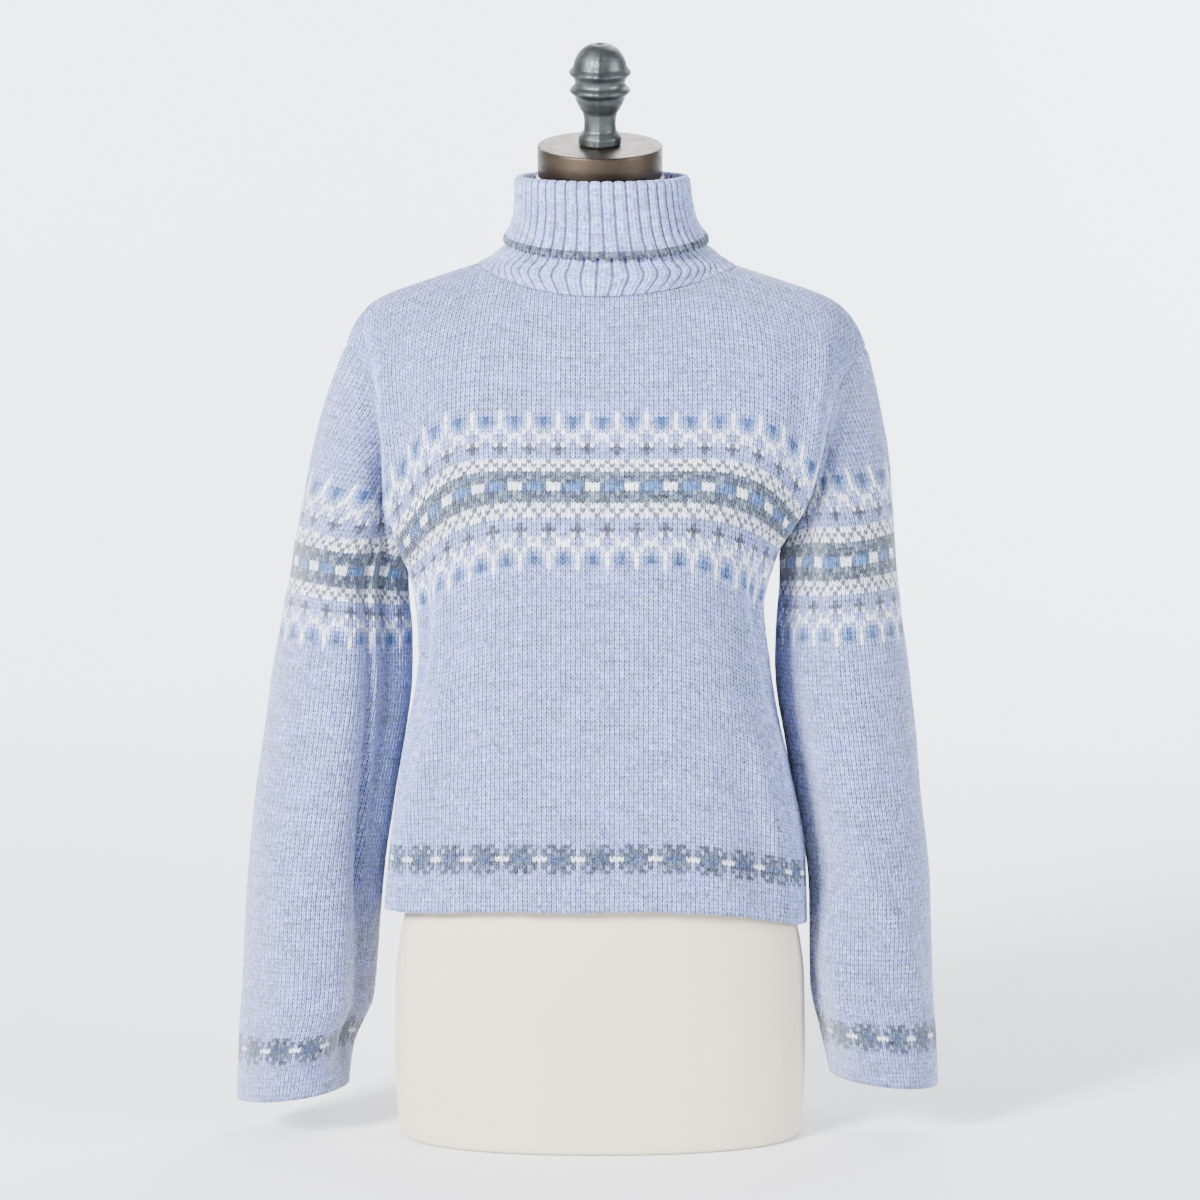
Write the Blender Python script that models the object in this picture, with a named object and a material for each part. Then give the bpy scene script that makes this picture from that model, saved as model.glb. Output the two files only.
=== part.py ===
"""Knitted turtleneck sweater on a limbless dress form.

The sweater is five knitted pieces: front, back, two set-in sleeves and a ribbed collar that is
turned down once. Each is a thin wall on a surface worked out from the tables below. The form
inside it is a smooth torso with a flat base, a metal neck cap and a turned finial.

Front of the garment faces -Y, its right-hand side in front view is +X, and +Z is up. The origin
is the middle of the form's flat base. Tables and sizes are in millimetres.
"""
import math

import bmesh
import bpy
import numpy as np

MM = 0.001
WALL = 2.4              # thickness of the knitted panels
COLLAR_WALL = 3.0       # thickness of one layer of the ribbed collar
SEAM_GAP = 0.3          # space left between two pieces where they are sewn together

BODY_LENGTH = 540.0     # up the cloth from hem to shoulder seam
UNDERARM = 318.0        # up the cloth from hem to underarm
FRONT_NECK_DROP = 32.0  # how far the front neckline dips below the shoulder seam
BACK_NECK_DROP = 10.0
NECK_ROUND = 2.6        # 2 makes the neckline a half ellipse, more makes its bottom flatter
NECK_POINT = {"left": 98.0, "right": 109.0}    # where the neckline meets the shoulder seam, from x = 0

# Middle line of the front and of the back, and how a knitted row runs out from it to the edge.
# square: 2 is an ellipse in plan, more is flatter. level: share of the half row that stays level.
# slope: share of its fall that is even, the rest comes late, as fast as the power curl.
# neck: how much of the depth is held by the neck alone. crest: how much higher the row runs over
# the shoulder, beyond the neck point, than at the middle line.
BODY_COLUMNS = ("up", "front_y", "front_z", "back_y", "back_z", "square", "level", "slope", "curl",
                "neck", "crest")
BODY_ROWS = (
    (0.0, -105.0, 202.0, 112.0, 192.0, 2.20, 0.20, 0.00, 2.2, 0.0, 0.0),
    (60.0, -106.0, 262.0, 110.0, 252.0, 2.20, 0.20, 0.00, 2.2, 0.0, 0.0),
    (150.0, -109.0, 351.0, 100.0, 341.0, 2.25, 0.20, 0.00, 2.2, 0.0, 0.0),
    (240.0, -116.0, 440.0, 96.0, 431.0, 2.30, 0.20, 0.00, 2.4, 0.0, 0.0),
    (318.0, -124.0, 517.0, 98.0, 509.0, 2.30, 0.25, 0.00, 3.0, 0.0, 0.0),
    (360.0, -122.0, 558.0, 99.0, 550.0, 2.25, 0.35, 0.00, 3.6, 0.0, 0.0),
    (400.0, -114.0, 597.0, 97.0, 590.0, 2.20, 0.45, 0.05, 4.0, 0.0, 0.0),
    (440.0, -103.0, 635.0, 91.0, 629.0, 2.10, 0.47, 0.20, 5.0, 0.1, 5.0),
    (480.0, -89.0, 670.0, 80.0, 667.0, 2.00, 0.47, 0.40, 6.5, 0.4, 11.0),
    (508.0, -78.0, 693.5, 72.0, 693.0, 2.00, 0.47, 0.50, 8.0, 0.78, 11.5),
    (525.0, -72.0, 708.0, 69.0, 708.0, 2.00, 0.47, 0.52, 9.0, 0.92, 8.0),
    (540.0, -66.0, 720.0, 66.0, 720.0, 2.00, 0.47, 0.53, 9.0, 1.0, 0.0),
)

# The panels' edges: side seams up to the underarm, then the front and back halves of the armholes.
EDGE_COLUMNS = ("up", "left_x", "left_z", "left_front_y", "left_back_y",
                "right_x", "right_z", "right_front_y", "right_back_y")
EDGE_ROWS = (
    (0.0, -178.0, 189.0, 3.0, 3.0, 171.0, 177.0, 3.0, 3.0),
    (60.0, -172.0, 248.0, 2.0, 2.0, 169.0, 234.0, 2.0, 2.0),
    (150.0, -161.0, 325.0, 0.0, 0.0, 155.0, 309.0, 0.0, 0.0),
    (200.0, -152.5, 366.0, 0.0, 0.0, 145.0, 354.0, 0.0, 0.0),
    (240.0, -148.5, 400.0, 0.0, 0.0, 139.0, 392.0, 0.0, 0.0),
    (280.0, -150.0, 435.0, 1.0, 1.0, 134.0, 438.0, 1.0, 1.0),
    (318.0, -156.0, 466.0, 3.0, 3.0, 146.0, 483.0, 3.0, 3.0),
    (345.0, -160.0, 484.0, -18.0, 24.0, 155.0, 501.0, -21.0, 24.0),
    (375.0, -165.0, 508.0, -29.0, 38.0, 166.0, 524.0, -37.0, 38.0),
    (410.0, -171.0, 540.0, -33.0, 46.0, 176.0, 555.0, -48.0, 46.0),
    (450.0, -175.5, 578.0, -33.0, 46.0, 184.0, 591.0, -50.0, 46.0),
    (490.0, -181.0, 613.0, -28.0, 37.0, 194.0, 622.0, -39.0, 37.0),
    (520.0, -193.0, 637.0, -18.0, 23.0, 207.0, 640.0, -22.0, 23.0),
    (540.0, -208.0, 652.0, 2.0, 2.0, 218.0, 650.0, 2.0, 2.0),
)

# Sections of each sleeve from cuff to sleeve head. tilt: rise of the section towards the outside.
SLEEVE_COLUMNS = ("up", "x", "y", "z", "half_width", "half_depth", "tilt")
SLEEVE_ROWS = {
    "left": (
        (0.0, -254.5, -3.0, 35.0, 46.5, 42.0, -0.12),
        (35.0, -250.0, -3.0, 68.0, 49.5, 44.0, -0.09),
        (85.0, -240.5, -2.0, 112.0, 56.5, 46.0, -0.05),
        (170.0, -235.5, 0.0, 196.0, 56.5, 46.0, 0.00),
        (255.0, -226.5, 0.0, 280.0, 57.0, 46.0, 0.02),
        (340.0, -214.5, 0.0, 364.0, 57.0, 46.5, 0.05),
        (395.0, -207.5, 0.0, 418.0, 54.5, 47.0, 0.08),
        (450.0, -205.0, 1.0, 470.0, 46.5, 47.0, 0.15),
        (510.0, -195.0, 2.0, 528.0, 44.5, 45.0, 0.30),
        (570.0, -186.5, 2.0, 590.0, 40.5, 40.0, 0.42),
        (620.0, -181.0, 2.0, 640.0, 31.0, 31.0, 0.45),
    ),
    "right": (
        (0.0, 235.5, -3.0, 46.0, 44.5, 43.0, -0.11),
        (35.0, 231.0, -3.0, 79.0, 47.5, 45.0, -0.07),
        (85.0, 224.5, -1.0, 123.0, 50.5, 48.0, -0.03),
        (170.0, 222.5, 2.0, 206.0, 50.0, 49.0, 0.00),
        (255.0, 214.0, 4.0, 289.0, 49.5, 49.5, 0.02),
        (340.0, 203.0, 4.0, 373.0, 52.0, 48.0, 0.05),
        (395.0, 197.5, 3.0, 427.0, 50.0, 48.0, 0.06),
        (450.0, 194.0, 2.0, 480.0, 47.5, 47.0, 0.12),
        (510.0, 190.0, 2.0, 537.0, 47.0, 45.0, 0.25),
        (570.0, 187.0, 2.0, 594.0, 42.0, 41.0, 0.40),
        (620.0, 188.0, 2.0, 642.0, 32.0, 31.0, 0.45),
    ),
}
CAP_UNDER = {"left": 455.0, "right": 463.0}    # up the sleeve from cuff to underarm
CAP_TOP = {"left": 616.0, "right": 612.0}      # up the sleeve from cuff to the top of the sleeve head
CAP_EVEN = 0.7                                 # share of the cap's rise that is even round the armhole
CAP_EASE = 95.0                                # stretch below the armhole in which the sleeve turns to meet it

# The largest folds. Each runs from one place on its piece to another, as a soft ridge (height above
# zero) or trough (below zero). across: -1 to 1 over a panel, 0 to 1 round a sleeve from its
# underarm seam by the front. up: along the cloth from hem or cuff.
HALF_PANEL = 225.0      # usual length of half a panel's row, over which across goes from 0 to 1
SLEEVE_ROUND = 325.0    # usual length of a row round a sleeve
FOLD_FADE = 60.0        # stretch over which a fold dies away at each end
EDGE_FADE = 0.05        # share of a half row in which folds die away towards a seam
FOLD_COLUMNS = ("piece", "across_0", "up_0", "across_1", "up_1", "width", "height")
FOLD_ROWS = (
    ("front", -0.89, 505.0, -0.89, 345.0, 17.0, 6.5),
    ("front", 0.87, 500.0, 0.88, 370.0, 16.0, 5.0),
    ("front", -0.97, 300.0, -0.72, 215.0, 13.0, -5.0),
    ("front", 0.96, 300.0, 0.74, 205.0, 13.0, -4.0),
    ("sleeve_left", 0.10, 440.0, 0.13, 190.0, 9.0, -7.0),
    ("sleeve_left", 0.16, 430.0, 0.19, 200.0, 12.0, 3.0),
    ("sleeve_right", 0.16, 470.0, 0.20, 330.0, 12.0, -4.0),
)

# The collar, from its seam up the stand, over the turn and down the turned part to its edge: the
# side of the layer that faces into the fold. lean: degrees that a ring dips to the front.
COLLAR_COLUMNS = ("x", "y", "z", "half_width", "half_depth", "lean")
COLLAR_ROWS = (
    (5.0, -2.0, 725.0, 91.0, 78.0, 11.5),
    (5.0, -3.0, 734.0, 79.5, 70.0, 11.5),
    (4.0, -5.0, 748.0, 71.0, 65.0, 9.0),
    (3.0, -8.0, 767.0, 66.5, 62.0, 6.0),
    (2.0, -10.0, 782.0, 65.0, 61.0, 4.5),
    (2.0, -10.0, 786.5, 65.8, 61.8, 4.5),
    (2.0, -10.0, 786.5, 67.5, 63.5, 4.5),
    (2.0, -10.0, 782.0, 68.3, 64.3, 4.5),
    (3.0, -8.0, 767.0, 69.5, 65.0, 6.0),
    (4.0, -5.0, 749.0, 74.0, 68.0, 9.0),
    (5.0, -2.0, 737.0, 82.0, 73.0, 11.5),
)

# The form's torso and neck, bottom to top.
FORM_COLUMNS = ("z", "y", "half_width", "front", "back", "square", "lean")
FORM_ROWS = (
    (0.0, 0.0, 167.0, 92.0, 98.0, 2.3, 0.0),
    (60.0, 0.0, 170.0, 95.0, 102.0, 2.3, 0.0),
    (130.0, 0.0, 169.0, 96.0, 104.0, 2.3, 0.0),
    (185.0, 0.0, 161.0, 94.0, 100.0, 2.25, 0.0),
    (250.0, 0.0, 140.0, 88.0, 84.0, 2.2, 0.0),
    (330.0, 0.0, 116.0, 79.0, 64.0, 2.2, 0.0),
    (400.0, 0.0, 119.0, 88.0, 68.0, 2.2, 0.0),
    (460.0, 0.0, 129.0, 108.0, 78.0, 2.2, 0.0),
    (520.0, 0.0, 142.0, 117.0, 87.0, 2.2, 0.0),
    (580.0, 0.0, 160.0, 108.0, 89.0, 2.1, 0.0),
    (633.0, 0.0, 172.0, 92.0, 82.0, 1.75, 0.0),
    (663.5, 0.0, 179.0, 79.0, 75.0, 1.5, 0.0),
    (686.0, 0.0, 172.0, 67.0, 66.0, 1.3, 0.0),
    (702.0, 0.0, 136.0, 59.0, 60.0, 1.25, 0.0),
    (712.5, -1.0, 99.0, 54.0, 54.0, 1.35, 1.0),
    (724.0, -2.0, 66.0, 51.0, 50.0, 1.75, 4.0),
    (745.0, -4.0, 54.0, 49.0, 49.0, 2.0, 8.0),
)
NECK_LEAN = 13.5                # degrees that the neck, its cap and the finial lean to the front
NECK_TOP = (0.0, -9.6, 789.0)   # middle of the neck's flat top
NECK_RADIUS = 49.0
NECK_CAP = {"radius": 50.5, "height": 25.0, "bevel": 1.6}
FINIAL_PROFILE = (              # radius, height above the cap
    (16.0, 0.0), (17.4, 1.5), (17.4, 5.5), (15.5, 8.0), (12.9, 11.0), (13.4, 16.0), (15.0, 20.5),
    (17.5, 25.5), (21.0, 32.0), (22.4, 38.5), (24.6, 41.0), (25.0, 44.0), (24.2, 47.0), (22.4, 50.0),
    (24.2, 53.0), (25.0, 56.0), (24.0, 59.0), (22.0, 62.0), (21.0, 67.0), (17.5, 74.5), (11.5, 79.8),
    (5.0, 82.0), (3.2, 81.6), (3.0, 76.0),
)

PANEL_COLUMNS = 24      # cells across a panel, half of them in the neckline
BODY_CELLS = 9          # cells up a side seam
ARMHOLE_CELLS = 10      # cells up half an armhole; a sleeve has twice as many round it
SLEEVE_CELLS = 18       # cells up a sleeve
FORM_SEGMENTS = 40
TURNED_SEGMENTS = 32

COLOURS = {             # colour, roughness, metallic
    "knit": ((0.60, 0.63, 0.78, 1.0), 0.9, 0.0),
    "form_cloth": ((0.72, 0.62, 0.50, 1.0), 0.8, 0.0),
    "bronze": ((0.12, 0.095, 0.075, 1.0), 0.45, 0.8),
    "cast_metal": ((0.13, 0.15, 0.15, 1.0), 0.6, 0.6),
}


def column(columns, rows, name):
    """One named column of a table as an array."""
    return np.array([row[columns.index(name)] for row in rows])


def smooth(knots, values, at):
    """Cubic curve through a table's values that never overshoots them."""
    step = np.diff(knots)
    slope = np.diff(values) / step
    tangent = np.zeros(len(knots))
    both = slope[1:] * slope[:-1]
    mean = 2.0 * both / np.where(both > 0, slope[1:] + slope[:-1], 1.0)
    tangent[1:-1] = np.where(both > 0, mean, 0.0)
    tangent[0], tangent[-1] = slope[0], slope[-1]
    at = np.clip(at, knots[0], knots[-1])
    cell = np.clip(np.searchsorted(knots, at, side="right") - 1, 0, len(step) - 1)
    part = (at - knots[cell]) / step[cell]
    start, end = values[cell], values[cell + 1]
    rise_0, rise_1 = tangent[cell] * step[cell], tangent[cell + 1] * step[cell]
    return (start + part * rise_0 + part**2 * (3 * (end - start) - 2 * rise_0 - rise_1)
            + part**3 * (2 * (start - end) + rise_0 + rise_1))


def body(name, up):
    return smooth(column(BODY_COLUMNS, BODY_ROWS, "up"), column(BODY_COLUMNS, BODY_ROWS, name), up)


def edge(name, up):
    return smooth(column(EDGE_COLUMNS, EDGE_ROWS, "up"), column(EDGE_COLUMNS, EDGE_ROWS, name), up)


def row_points(face, up, turn):
    """Places on the knitted rows at heights up: turn goes from 0 at the middle line to +-1 at the edges."""
    right = turn >= 0
    side = {name: np.where(right, edge("right_" + name, up), edge("left_" + name, up))
            for name in ("x", "z", face + "_y")}
    angle = np.abs(turn) * math.pi / 2
    square = body("square", up)
    share = np.sin(angle) ** (2 / square)
    ellipse = np.cos(angle) ** (2 / square)
    x = side["x"] * share
    neck_point = np.where(right, NECK_POINT["right"], NECK_POINT["left"])
    bell = np.clip(1 - (x / neck_point) ** 2, 0, 1) ** 1.2
    neck = body("neck", up)
    depth = (1 - neck) * ellipse + neck * bell
    level = body("level", up)
    fall = np.clip((share - level) / (1 - level), 0, 1)
    slope = body("slope", up)
    fall = slope * fall + (1 - slope) * fall ** body("curl", up)
    middle_y = body(face + "_y", up)
    middle_z = body(face + "_z", up) + body("crest", up) * (1 - bell)
    edge_y = side[face + "_y"]
    return np.stack([x, edge_y + (middle_y - edge_y) * depth, middle_z + (side["z"] - middle_z) * fall], axis=-1)


def even_turns(face, up, across):
    """The turn that puts a place at the share `across` of its half row's length."""
    samples = np.linspace(0, 1, 121)
    heights = np.linspace(0, BODY_LENGTH, 109)
    turns = np.empty(np.shape(across))
    for sign in (-1, 1):
        half = (across >= 0) == (sign > 0)
        row = row_points(face, heights[:, None], sign * samples[None, :] * (1 - 1e-9) + sign * 1e-12)
        length = np.cumsum(np.linalg.norm(np.diff(row, axis=1), axis=2), axis=1)
        length = np.concatenate([np.zeros((len(heights), 1)), length], axis=1) / length[:, -1:]
        wanted = np.linspace(0, 1, 101)
        table = np.array([np.interp(wanted, line, samples) for line in length])
        row_at = np.clip(up[half] / BODY_LENGTH * (len(heights) - 1), 0, len(heights) - 1.001)
        place = np.abs(across[half]) * (len(wanted) - 1)
        place = np.clip(place, 0, len(wanted) - 1.000001)
        i, j = row_at.astype(int), place.astype(int)
        di, dj = row_at - i, place - j
        turns[half] = sign * ((1 - di) * ((1 - dj) * table[i, j] + dj * table[i, j + 1])
                              + di * ((1 - dj) * table[i + 1, j] + dj * table[i + 1, j + 1]))
    return turns


def panel_points(face, up, across):
    return row_points(face, up, even_turns(face, up, across))


def neck_across():
    """Shares of the top row at which the neckline meets it, left and right."""
    samples = np.linspace(0, 1, 401)
    found = {}
    for name, sign in (("left", -1), ("right", 1)):
        row = panel_points("front", np.full(samples.shape, BODY_LENGTH), sign * samples)
        found[name] = np.interp(NECK_POINT[name], np.abs(row[:, 0]), samples)
    return found


def panel_grid(face):
    """Rows and columns of places over a whole panel, with its neckline as the top of its middle columns."""
    neck = neck_across()
    quarter = PANEL_COLUMNS // 4
    even = np.linspace(0, 1, quarter + 1)
    tight = even ** 0.8                 # the shoulder's columns draw together at its end
    across = np.concatenate([-(neck["left"] + (1 - neck["left"]) * tight)[:0:-1], -neck["left"] * even[:0:-1],
                             neck["right"] * even[:-1], neck["right"] + (1 - neck["right"]) * tight])
    drop = FRONT_NECK_DROP if face == "front" else BACK_NECK_DROP
    in_neck = across / np.where(across > 0, neck["right"], neck["left"])
    top = BODY_LENGTH - drop * np.clip(1 - np.abs(in_neck) ** NECK_ROUND, 0, 1) ** (1 / NECK_ROUND)
    rows = np.concatenate([np.linspace(0, UNDERARM, BODY_CELLS + 1)[:-1],
                           np.linspace(UNDERARM, BODY_LENGTH, ARMHOLE_CELLS + 1)])
    dip = (rows / BODY_LENGTH) ** 3
    up = rows[:, None] - dip[:, None] * (BODY_LENGTH - top)[None, :]
    grid = panel_points(face, up, np.broadcast_to(across, up.shape).copy())
    return fold(face, grid, up, np.broadcast_to(across, up.shape), False)


def unit(vectors):
    return vectors / np.maximum(np.linalg.norm(vectors, axis=-1, keepdims=True), 1e-9)


def grid_normals(grid, closed):
    """Normals of a grid from the differences between its neighbours; closed grids wrap across."""
    if closed:
        across = np.roll(grid, -1, axis=1) - np.roll(grid, 1, axis=1)
    else:
        across = np.gradient(grid, axis=1)
    return unit(np.cross(across, np.gradient(grid, axis=0)))


def fold(piece, grid, up, across, closed):
    """Push a grid out or in along the piece's folds, fading towards its edges."""
    normals = grid_normals(grid, closed)
    push = np.zeros(up.shape)
    for row in FOLD_ROWS:
        name, across_0, up_0, across_1, up_1, width, height = row
        if name != piece:
            continue
        along = np.clip((up - up_0) / (up_1 - up_0), 0, 1)
        middle = across_0 + (across_1 - across_0) * along
        girth = SLEEVE_ROUND if closed else HALF_PANEL
        off = (across - middle) * girth / width
        ends = np.clip(np.minimum(up - min(up_0, up_1), max(up_0, up_1) - up) / FOLD_FADE + 0.6, 0, 1)
        push += height * np.exp(-off**2) * ends * ends * (3 - 2 * ends)
    if not closed:
        push *= np.clip((1 - np.abs(across)) / EDGE_FADE, 0, 1)
    return grid + normals * push[..., None]


def armhole_loop(side, front, back):
    """The armhole, from the underarm up its front half and down its back half."""
    edge_column = 0 if side == "left" else -1
    front_half = front[BODY_CELLS:, edge_column]
    back_half = back[BODY_CELLS:, edge_column]
    return np.concatenate([front_half, back_half[::-1][1:-1]])


def sleeve_section(side, up, around):
    """Places on the sleeve's sections; around is 0 at the underarm seam and 0.25 at the front."""
    rows = SLEEVE_ROWS[side]
    value = {name: smooth(column(SLEEVE_COLUMNS, rows, "up"), column(SLEEVE_COLUMNS, rows, name), up)
             for name in SLEEVE_COLUMNS[1:]}
    outward = -1 if side == "left" else 1
    angle = 2 * math.pi * around
    out = -outward * np.cos(angle) * value["half_width"]
    return np.stack([value["x"] + out, value["y"] - np.sin(angle) * value["half_depth"],
                     value["z"] + outward * out * value["tilt"]], axis=-1)


def sleeve_grid(side, loop):
    """Columns of places round the sleeve from its cuff to the armhole, which it meets point for point."""
    count = len(loop)
    around = np.arange(count) / count
    rise = np.minimum(around, 1 - around) * 2
    cap = CAP_EVEN * rise + (1 - CAP_EVEN) * (1 - np.cos(math.pi * rise)) / 2
    top = CAP_UNDER[side] + (CAP_TOP[side] - CAP_UNDER[side]) * cap
    share = np.linspace(0, 1, SLEEVE_CELLS + 1)
    up = share[:, None] * top[None, :]
    grid = sleeve_section(side, up, np.broadcast_to(around, up.shape))
    grid = fold("sleeve_" + side, grid, up, np.broadcast_to(around, up.shape), True)
    miss = loop - grid[-1]
    ease = np.clip(1 - (top[None, :] - up) / CAP_EASE, 0, 1)
    return grid + miss[None] * (ease * ease * (3 - 2 * ease))[..., None]


def ring_points(x, y, z, half_width, front, back, square, lean, count):
    """A level or leaning superellipse ring, starting at -X and going round by the front."""
    angle = 2 * math.pi * np.arange(count) / count + math.pi
    c, s = np.cos(angle), np.sin(angle)
    along = np.sign(c) * np.abs(c) ** (2 / square) * half_width
    deep = np.sign(s) * np.abs(s) ** (2 / square) * np.where(s < 0, front, back)
    tip = math.radians(lean)
    return np.stack([x + along, y + deep * math.cos(tip), z + deep * math.sin(tip)], axis=-1)


def collar_grid(neckline):
    """Rings from the neckline seam up the stand, over and down, each with a point for each seam point."""
    centre = neckline.mean(axis=0)
    angle = np.arctan2(neckline[:, 1] - centre[1], neckline[:, 0] - centre[0])
    rings = [neckline]
    for row in COLLAR_ROWS:
        x, y, z, half_width, half_depth, lean = row
        tip = math.radians(lean)
        deep = half_depth * np.sin(angle)
        rings.append(np.stack([x + half_width * np.cos(angle), y + deep * math.cos(tip),
                               z + deep * math.sin(tip)], axis=-1))
    return np.array(rings)


def wall(outer, inner, closed):
    """Vertices and faces of the wall between two grids, closed along every open edge."""
    rows, count = outer.shape[:2]
    vertices = np.concatenate([outer.reshape(-1, 3), inner.reshape(-1, 3)])
    shift = rows * count
    faces = []
    last = count if closed else count - 1
    for i in range(rows - 1):
        for j in range(last):
            a, b = i * count + j, i * count + (j + 1) % count
            c, d = b + count, a + count
            faces.append((a, b, c, d))
            faces.append((shift + d, shift + c, shift + b, shift + a))
    for j in range(last):
        a, b = j, (j + 1) % count
        faces.append((shift + a, shift + b, b, a))
        a, b = a + (rows - 1) * count, b + (rows - 1) * count
        faces.append((a, b, shift + b, shift + a))
    if not closed:
        for i in range(rows - 1):
            a, d = i * count, (i + 1) * count
            faces.append((a, d, shift + d, shift + a))
            a, d = a + count - 1, d + count - 1
            faces.append((shift + a, shift + d, d, a))
    return vertices, faces


def material(name):
    made = bpy.data.materials.get(name)
    if made is None:
        colour, roughness, metallic = COLOURS[name]
        made = bpy.data.materials.new(name)
        made.use_nodes = True
        shader = made.node_tree.nodes["Principled BSDF"]
        shader.inputs["Base Color"].default_value = colour
        shader.inputs["Roughness"].default_value = roughness
        shader.inputs["Metallic"].default_value = metallic
    return made


def add_solid(name, vertices, faces, finish):
    """A named object in metres with triangles that all face outwards."""
    mesh = bpy.data.meshes.new(name)
    mesh.from_pydata([tuple(v) for v in np.asarray(vertices) * MM], [], faces)
    work = bmesh.new()
    work.from_mesh(mesh)
    bmesh.ops.triangulate(work, faces=work.faces)
    bmesh.ops.recalc_face_normals(work, faces=work.faces)
    work.to_mesh(mesh)
    work.free()
    mesh.shade_smooth()
    mesh.set_sharp_from_angle(angle=math.radians(40))
    made = bpy.data.objects.new(name, mesh)
    made.data.materials.append(material(finish))
    bpy.context.collection.objects.link(made)
    return made


def stack_rings(rings):
    """Vertices and faces of a solid through rings of equal count, with a flat face at each end."""
    count = len(rings[0])
    faces = [tuple(range(count))[::-1], tuple(range((len(rings) - 1) * count, len(rings) * count))]
    for i in range(len(rings) - 1):
        for j in range(count):
            a, b = i * count + j, i * count + (j + 1) % count
            faces.append((a, b, b + count, a + count))
    return np.concatenate(rings), faces


def build_sweater():
    front, back = panel_grid("front"), panel_grid("back")
    loops = {side: armhole_loop(side, front, back) for side in ("left", "right")}
    sleeves = {side: sleeve_grid(side, loops[side]) for side in loops}
    first, last = PANEL_COLUMNS // 4, PANEL_COLUMNS - PANEL_COLUMNS // 4
    neckline = np.concatenate([front[-1, first:last + 1], back[-1, first:last + 1][::-1][1:-1]])
    collar = collar_grid(neckline)

    # Normals, the same for both sides of every seam, so that the walls end on one shared strip.
    normals = {"front": grid_normals(front, False), "back": -grid_normals(back, False),
               "left": grid_normals(sleeves["left"], True), "right": -grid_normals(sleeves["right"], True),
               "collar": grid_normals(collar, True)}
    for name in ("left", "right"):
        outward = sleeves[name] - sleeves[name].mean(axis=1, keepdims=True)
        if (normals[name] * outward).sum() < 0:
            normals[name] = -normals[name]
    for name, grid in (("front", front), ("back", back)):
        if (normals[name][..., 1] * (1 if name == "back" else -1)).sum() < 0:
            normals[name] = -normals[name]
    outward = collar[:5] - collar[:5].mean(axis=1, keepdims=True)
    if (normals["collar"][:5] * outward).sum() < 0:
        normals["collar"] = -normals["collar"]

    share_seam_normals(normals, first, last)
    gap = SEAM_GAP / 2
    for name, grid in (("front", front), ("back", back)):
        inner = grid - WALL * normals[name]
        outer, inner = pull_back(grid, gap, False), pull_back(inner, gap, False)
        add_solid(name, *wall(outer, inner, False), "knit")
    for name in ("left", "right"):
        grid = sleeves[name]
        inner = grid - WALL * normals[name]
        outer, inner = pull_back(grid, 3 * gap, True), pull_back(inner, 3 * gap, True)
        add_solid("sleeve_" + name, *wall(outer, inner, True), "knit")
    thickness = np.full(len(collar), COLLAR_WALL)
    thickness[0] = WALL
    inner = collar - thickness[:, None, None] * normals["collar"]
    outer, inner = pull_back(collar[::-1], gap, True), pull_back(inner[::-1], gap, True)
    add_solid("collar", *wall(outer, inner, True), "knit")


def share_seam_normals(normals, first, last):
    """Average the normals of the pieces that meet at each point of each seam."""
    def join(places):
        mean = unit(sum(normals[name][i, j] for name, i, j in places))
        for name, i, j in places:
            normals[name][i, j] = mean

    top = normals["front"].shape[0] - 1
    around = 2 * ARMHOLE_CELLS
    for side, edge_column in (("left", 0), ("right", PANEL_COLUMNS)):
        head = normals[side].shape[0] - 1
        for i in range(BODY_CELLS):
            join([("front", i, edge_column), ("back", i, edge_column)])
        for k in range(1, ARMHOLE_CELLS):
            join([("front", BODY_CELLS + k, edge_column), (side, head, k)])
            join([("back", BODY_CELLS + k, edge_column), (side, head, around - k)])
        for name, i, j in (("front", BODY_CELLS, edge_column), ("back", BODY_CELLS, edge_column),
                           (side, head, 0)):
            normals[name][i, j] = (0.0, 0.0, -1.0)      # the cloth turns over at the underarm
        join([("front", top, edge_column), ("back", top, edge_column), (side, head, ARMHOLE_CELLS)])
    width = last - first
    for j in range(first + 1, last):
        join([("front", top, j), ("collar", 0, j - first)])
        join([("back", top, j), ("collar", 0, 2 * width - (j - first))])
    for j in list(range(1, first)) + list(range(last + 1, PANEL_COLUMNS)):
        join([("front", top, j), ("back", top, j)])
    join([("front", top, first), ("back", top, first), ("collar", 0, 0)])
    join([("front", top, last), ("back", top, last), ("collar", 0, width)])


def pull_back(grid, distance, closed):
    """Move a grid's sewn edges in over its surface: top row always, side columns of an open grid."""
    moved = grid.copy()
    moved[-1] += distance * unit(grid[-2] - grid[-1])
    if not closed:
        moved[:, 0] += distance * unit(grid[:, 1] - grid[:, 0])
        moved[:, -1] += distance * unit(grid[:, -2] - grid[:, -1])
    return moved


def build_form():
    rings = []
    heights = column(FORM_COLUMNS, FORM_ROWS, "z")
    for z in np.concatenate([np.linspace(0, 640, 17), np.arange(655, 746, 7.5)]):
        value = {name: float(smooth(heights, column(FORM_COLUMNS, FORM_ROWS, name), np.array([z]))[0])
                 for name in FORM_COLUMNS[1:]}
        rings.append(ring_points(0.0, value["y"], z, value["half_width"], value["front"], value["back"],
                                 value["square"], value["lean"], FORM_SEGMENTS))
    top = ring_points(*NECK_TOP, NECK_RADIUS, NECK_RADIUS, NECK_RADIUS, 2.0, NECK_LEAN, FORM_SEGMENTS)
    for share in (0.4, 1.0):
        rings.append(rings[-1] * (1 - share) + top * share)
    add_solid("form_torso", *stack_rings(rings), "form_cloth")


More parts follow.
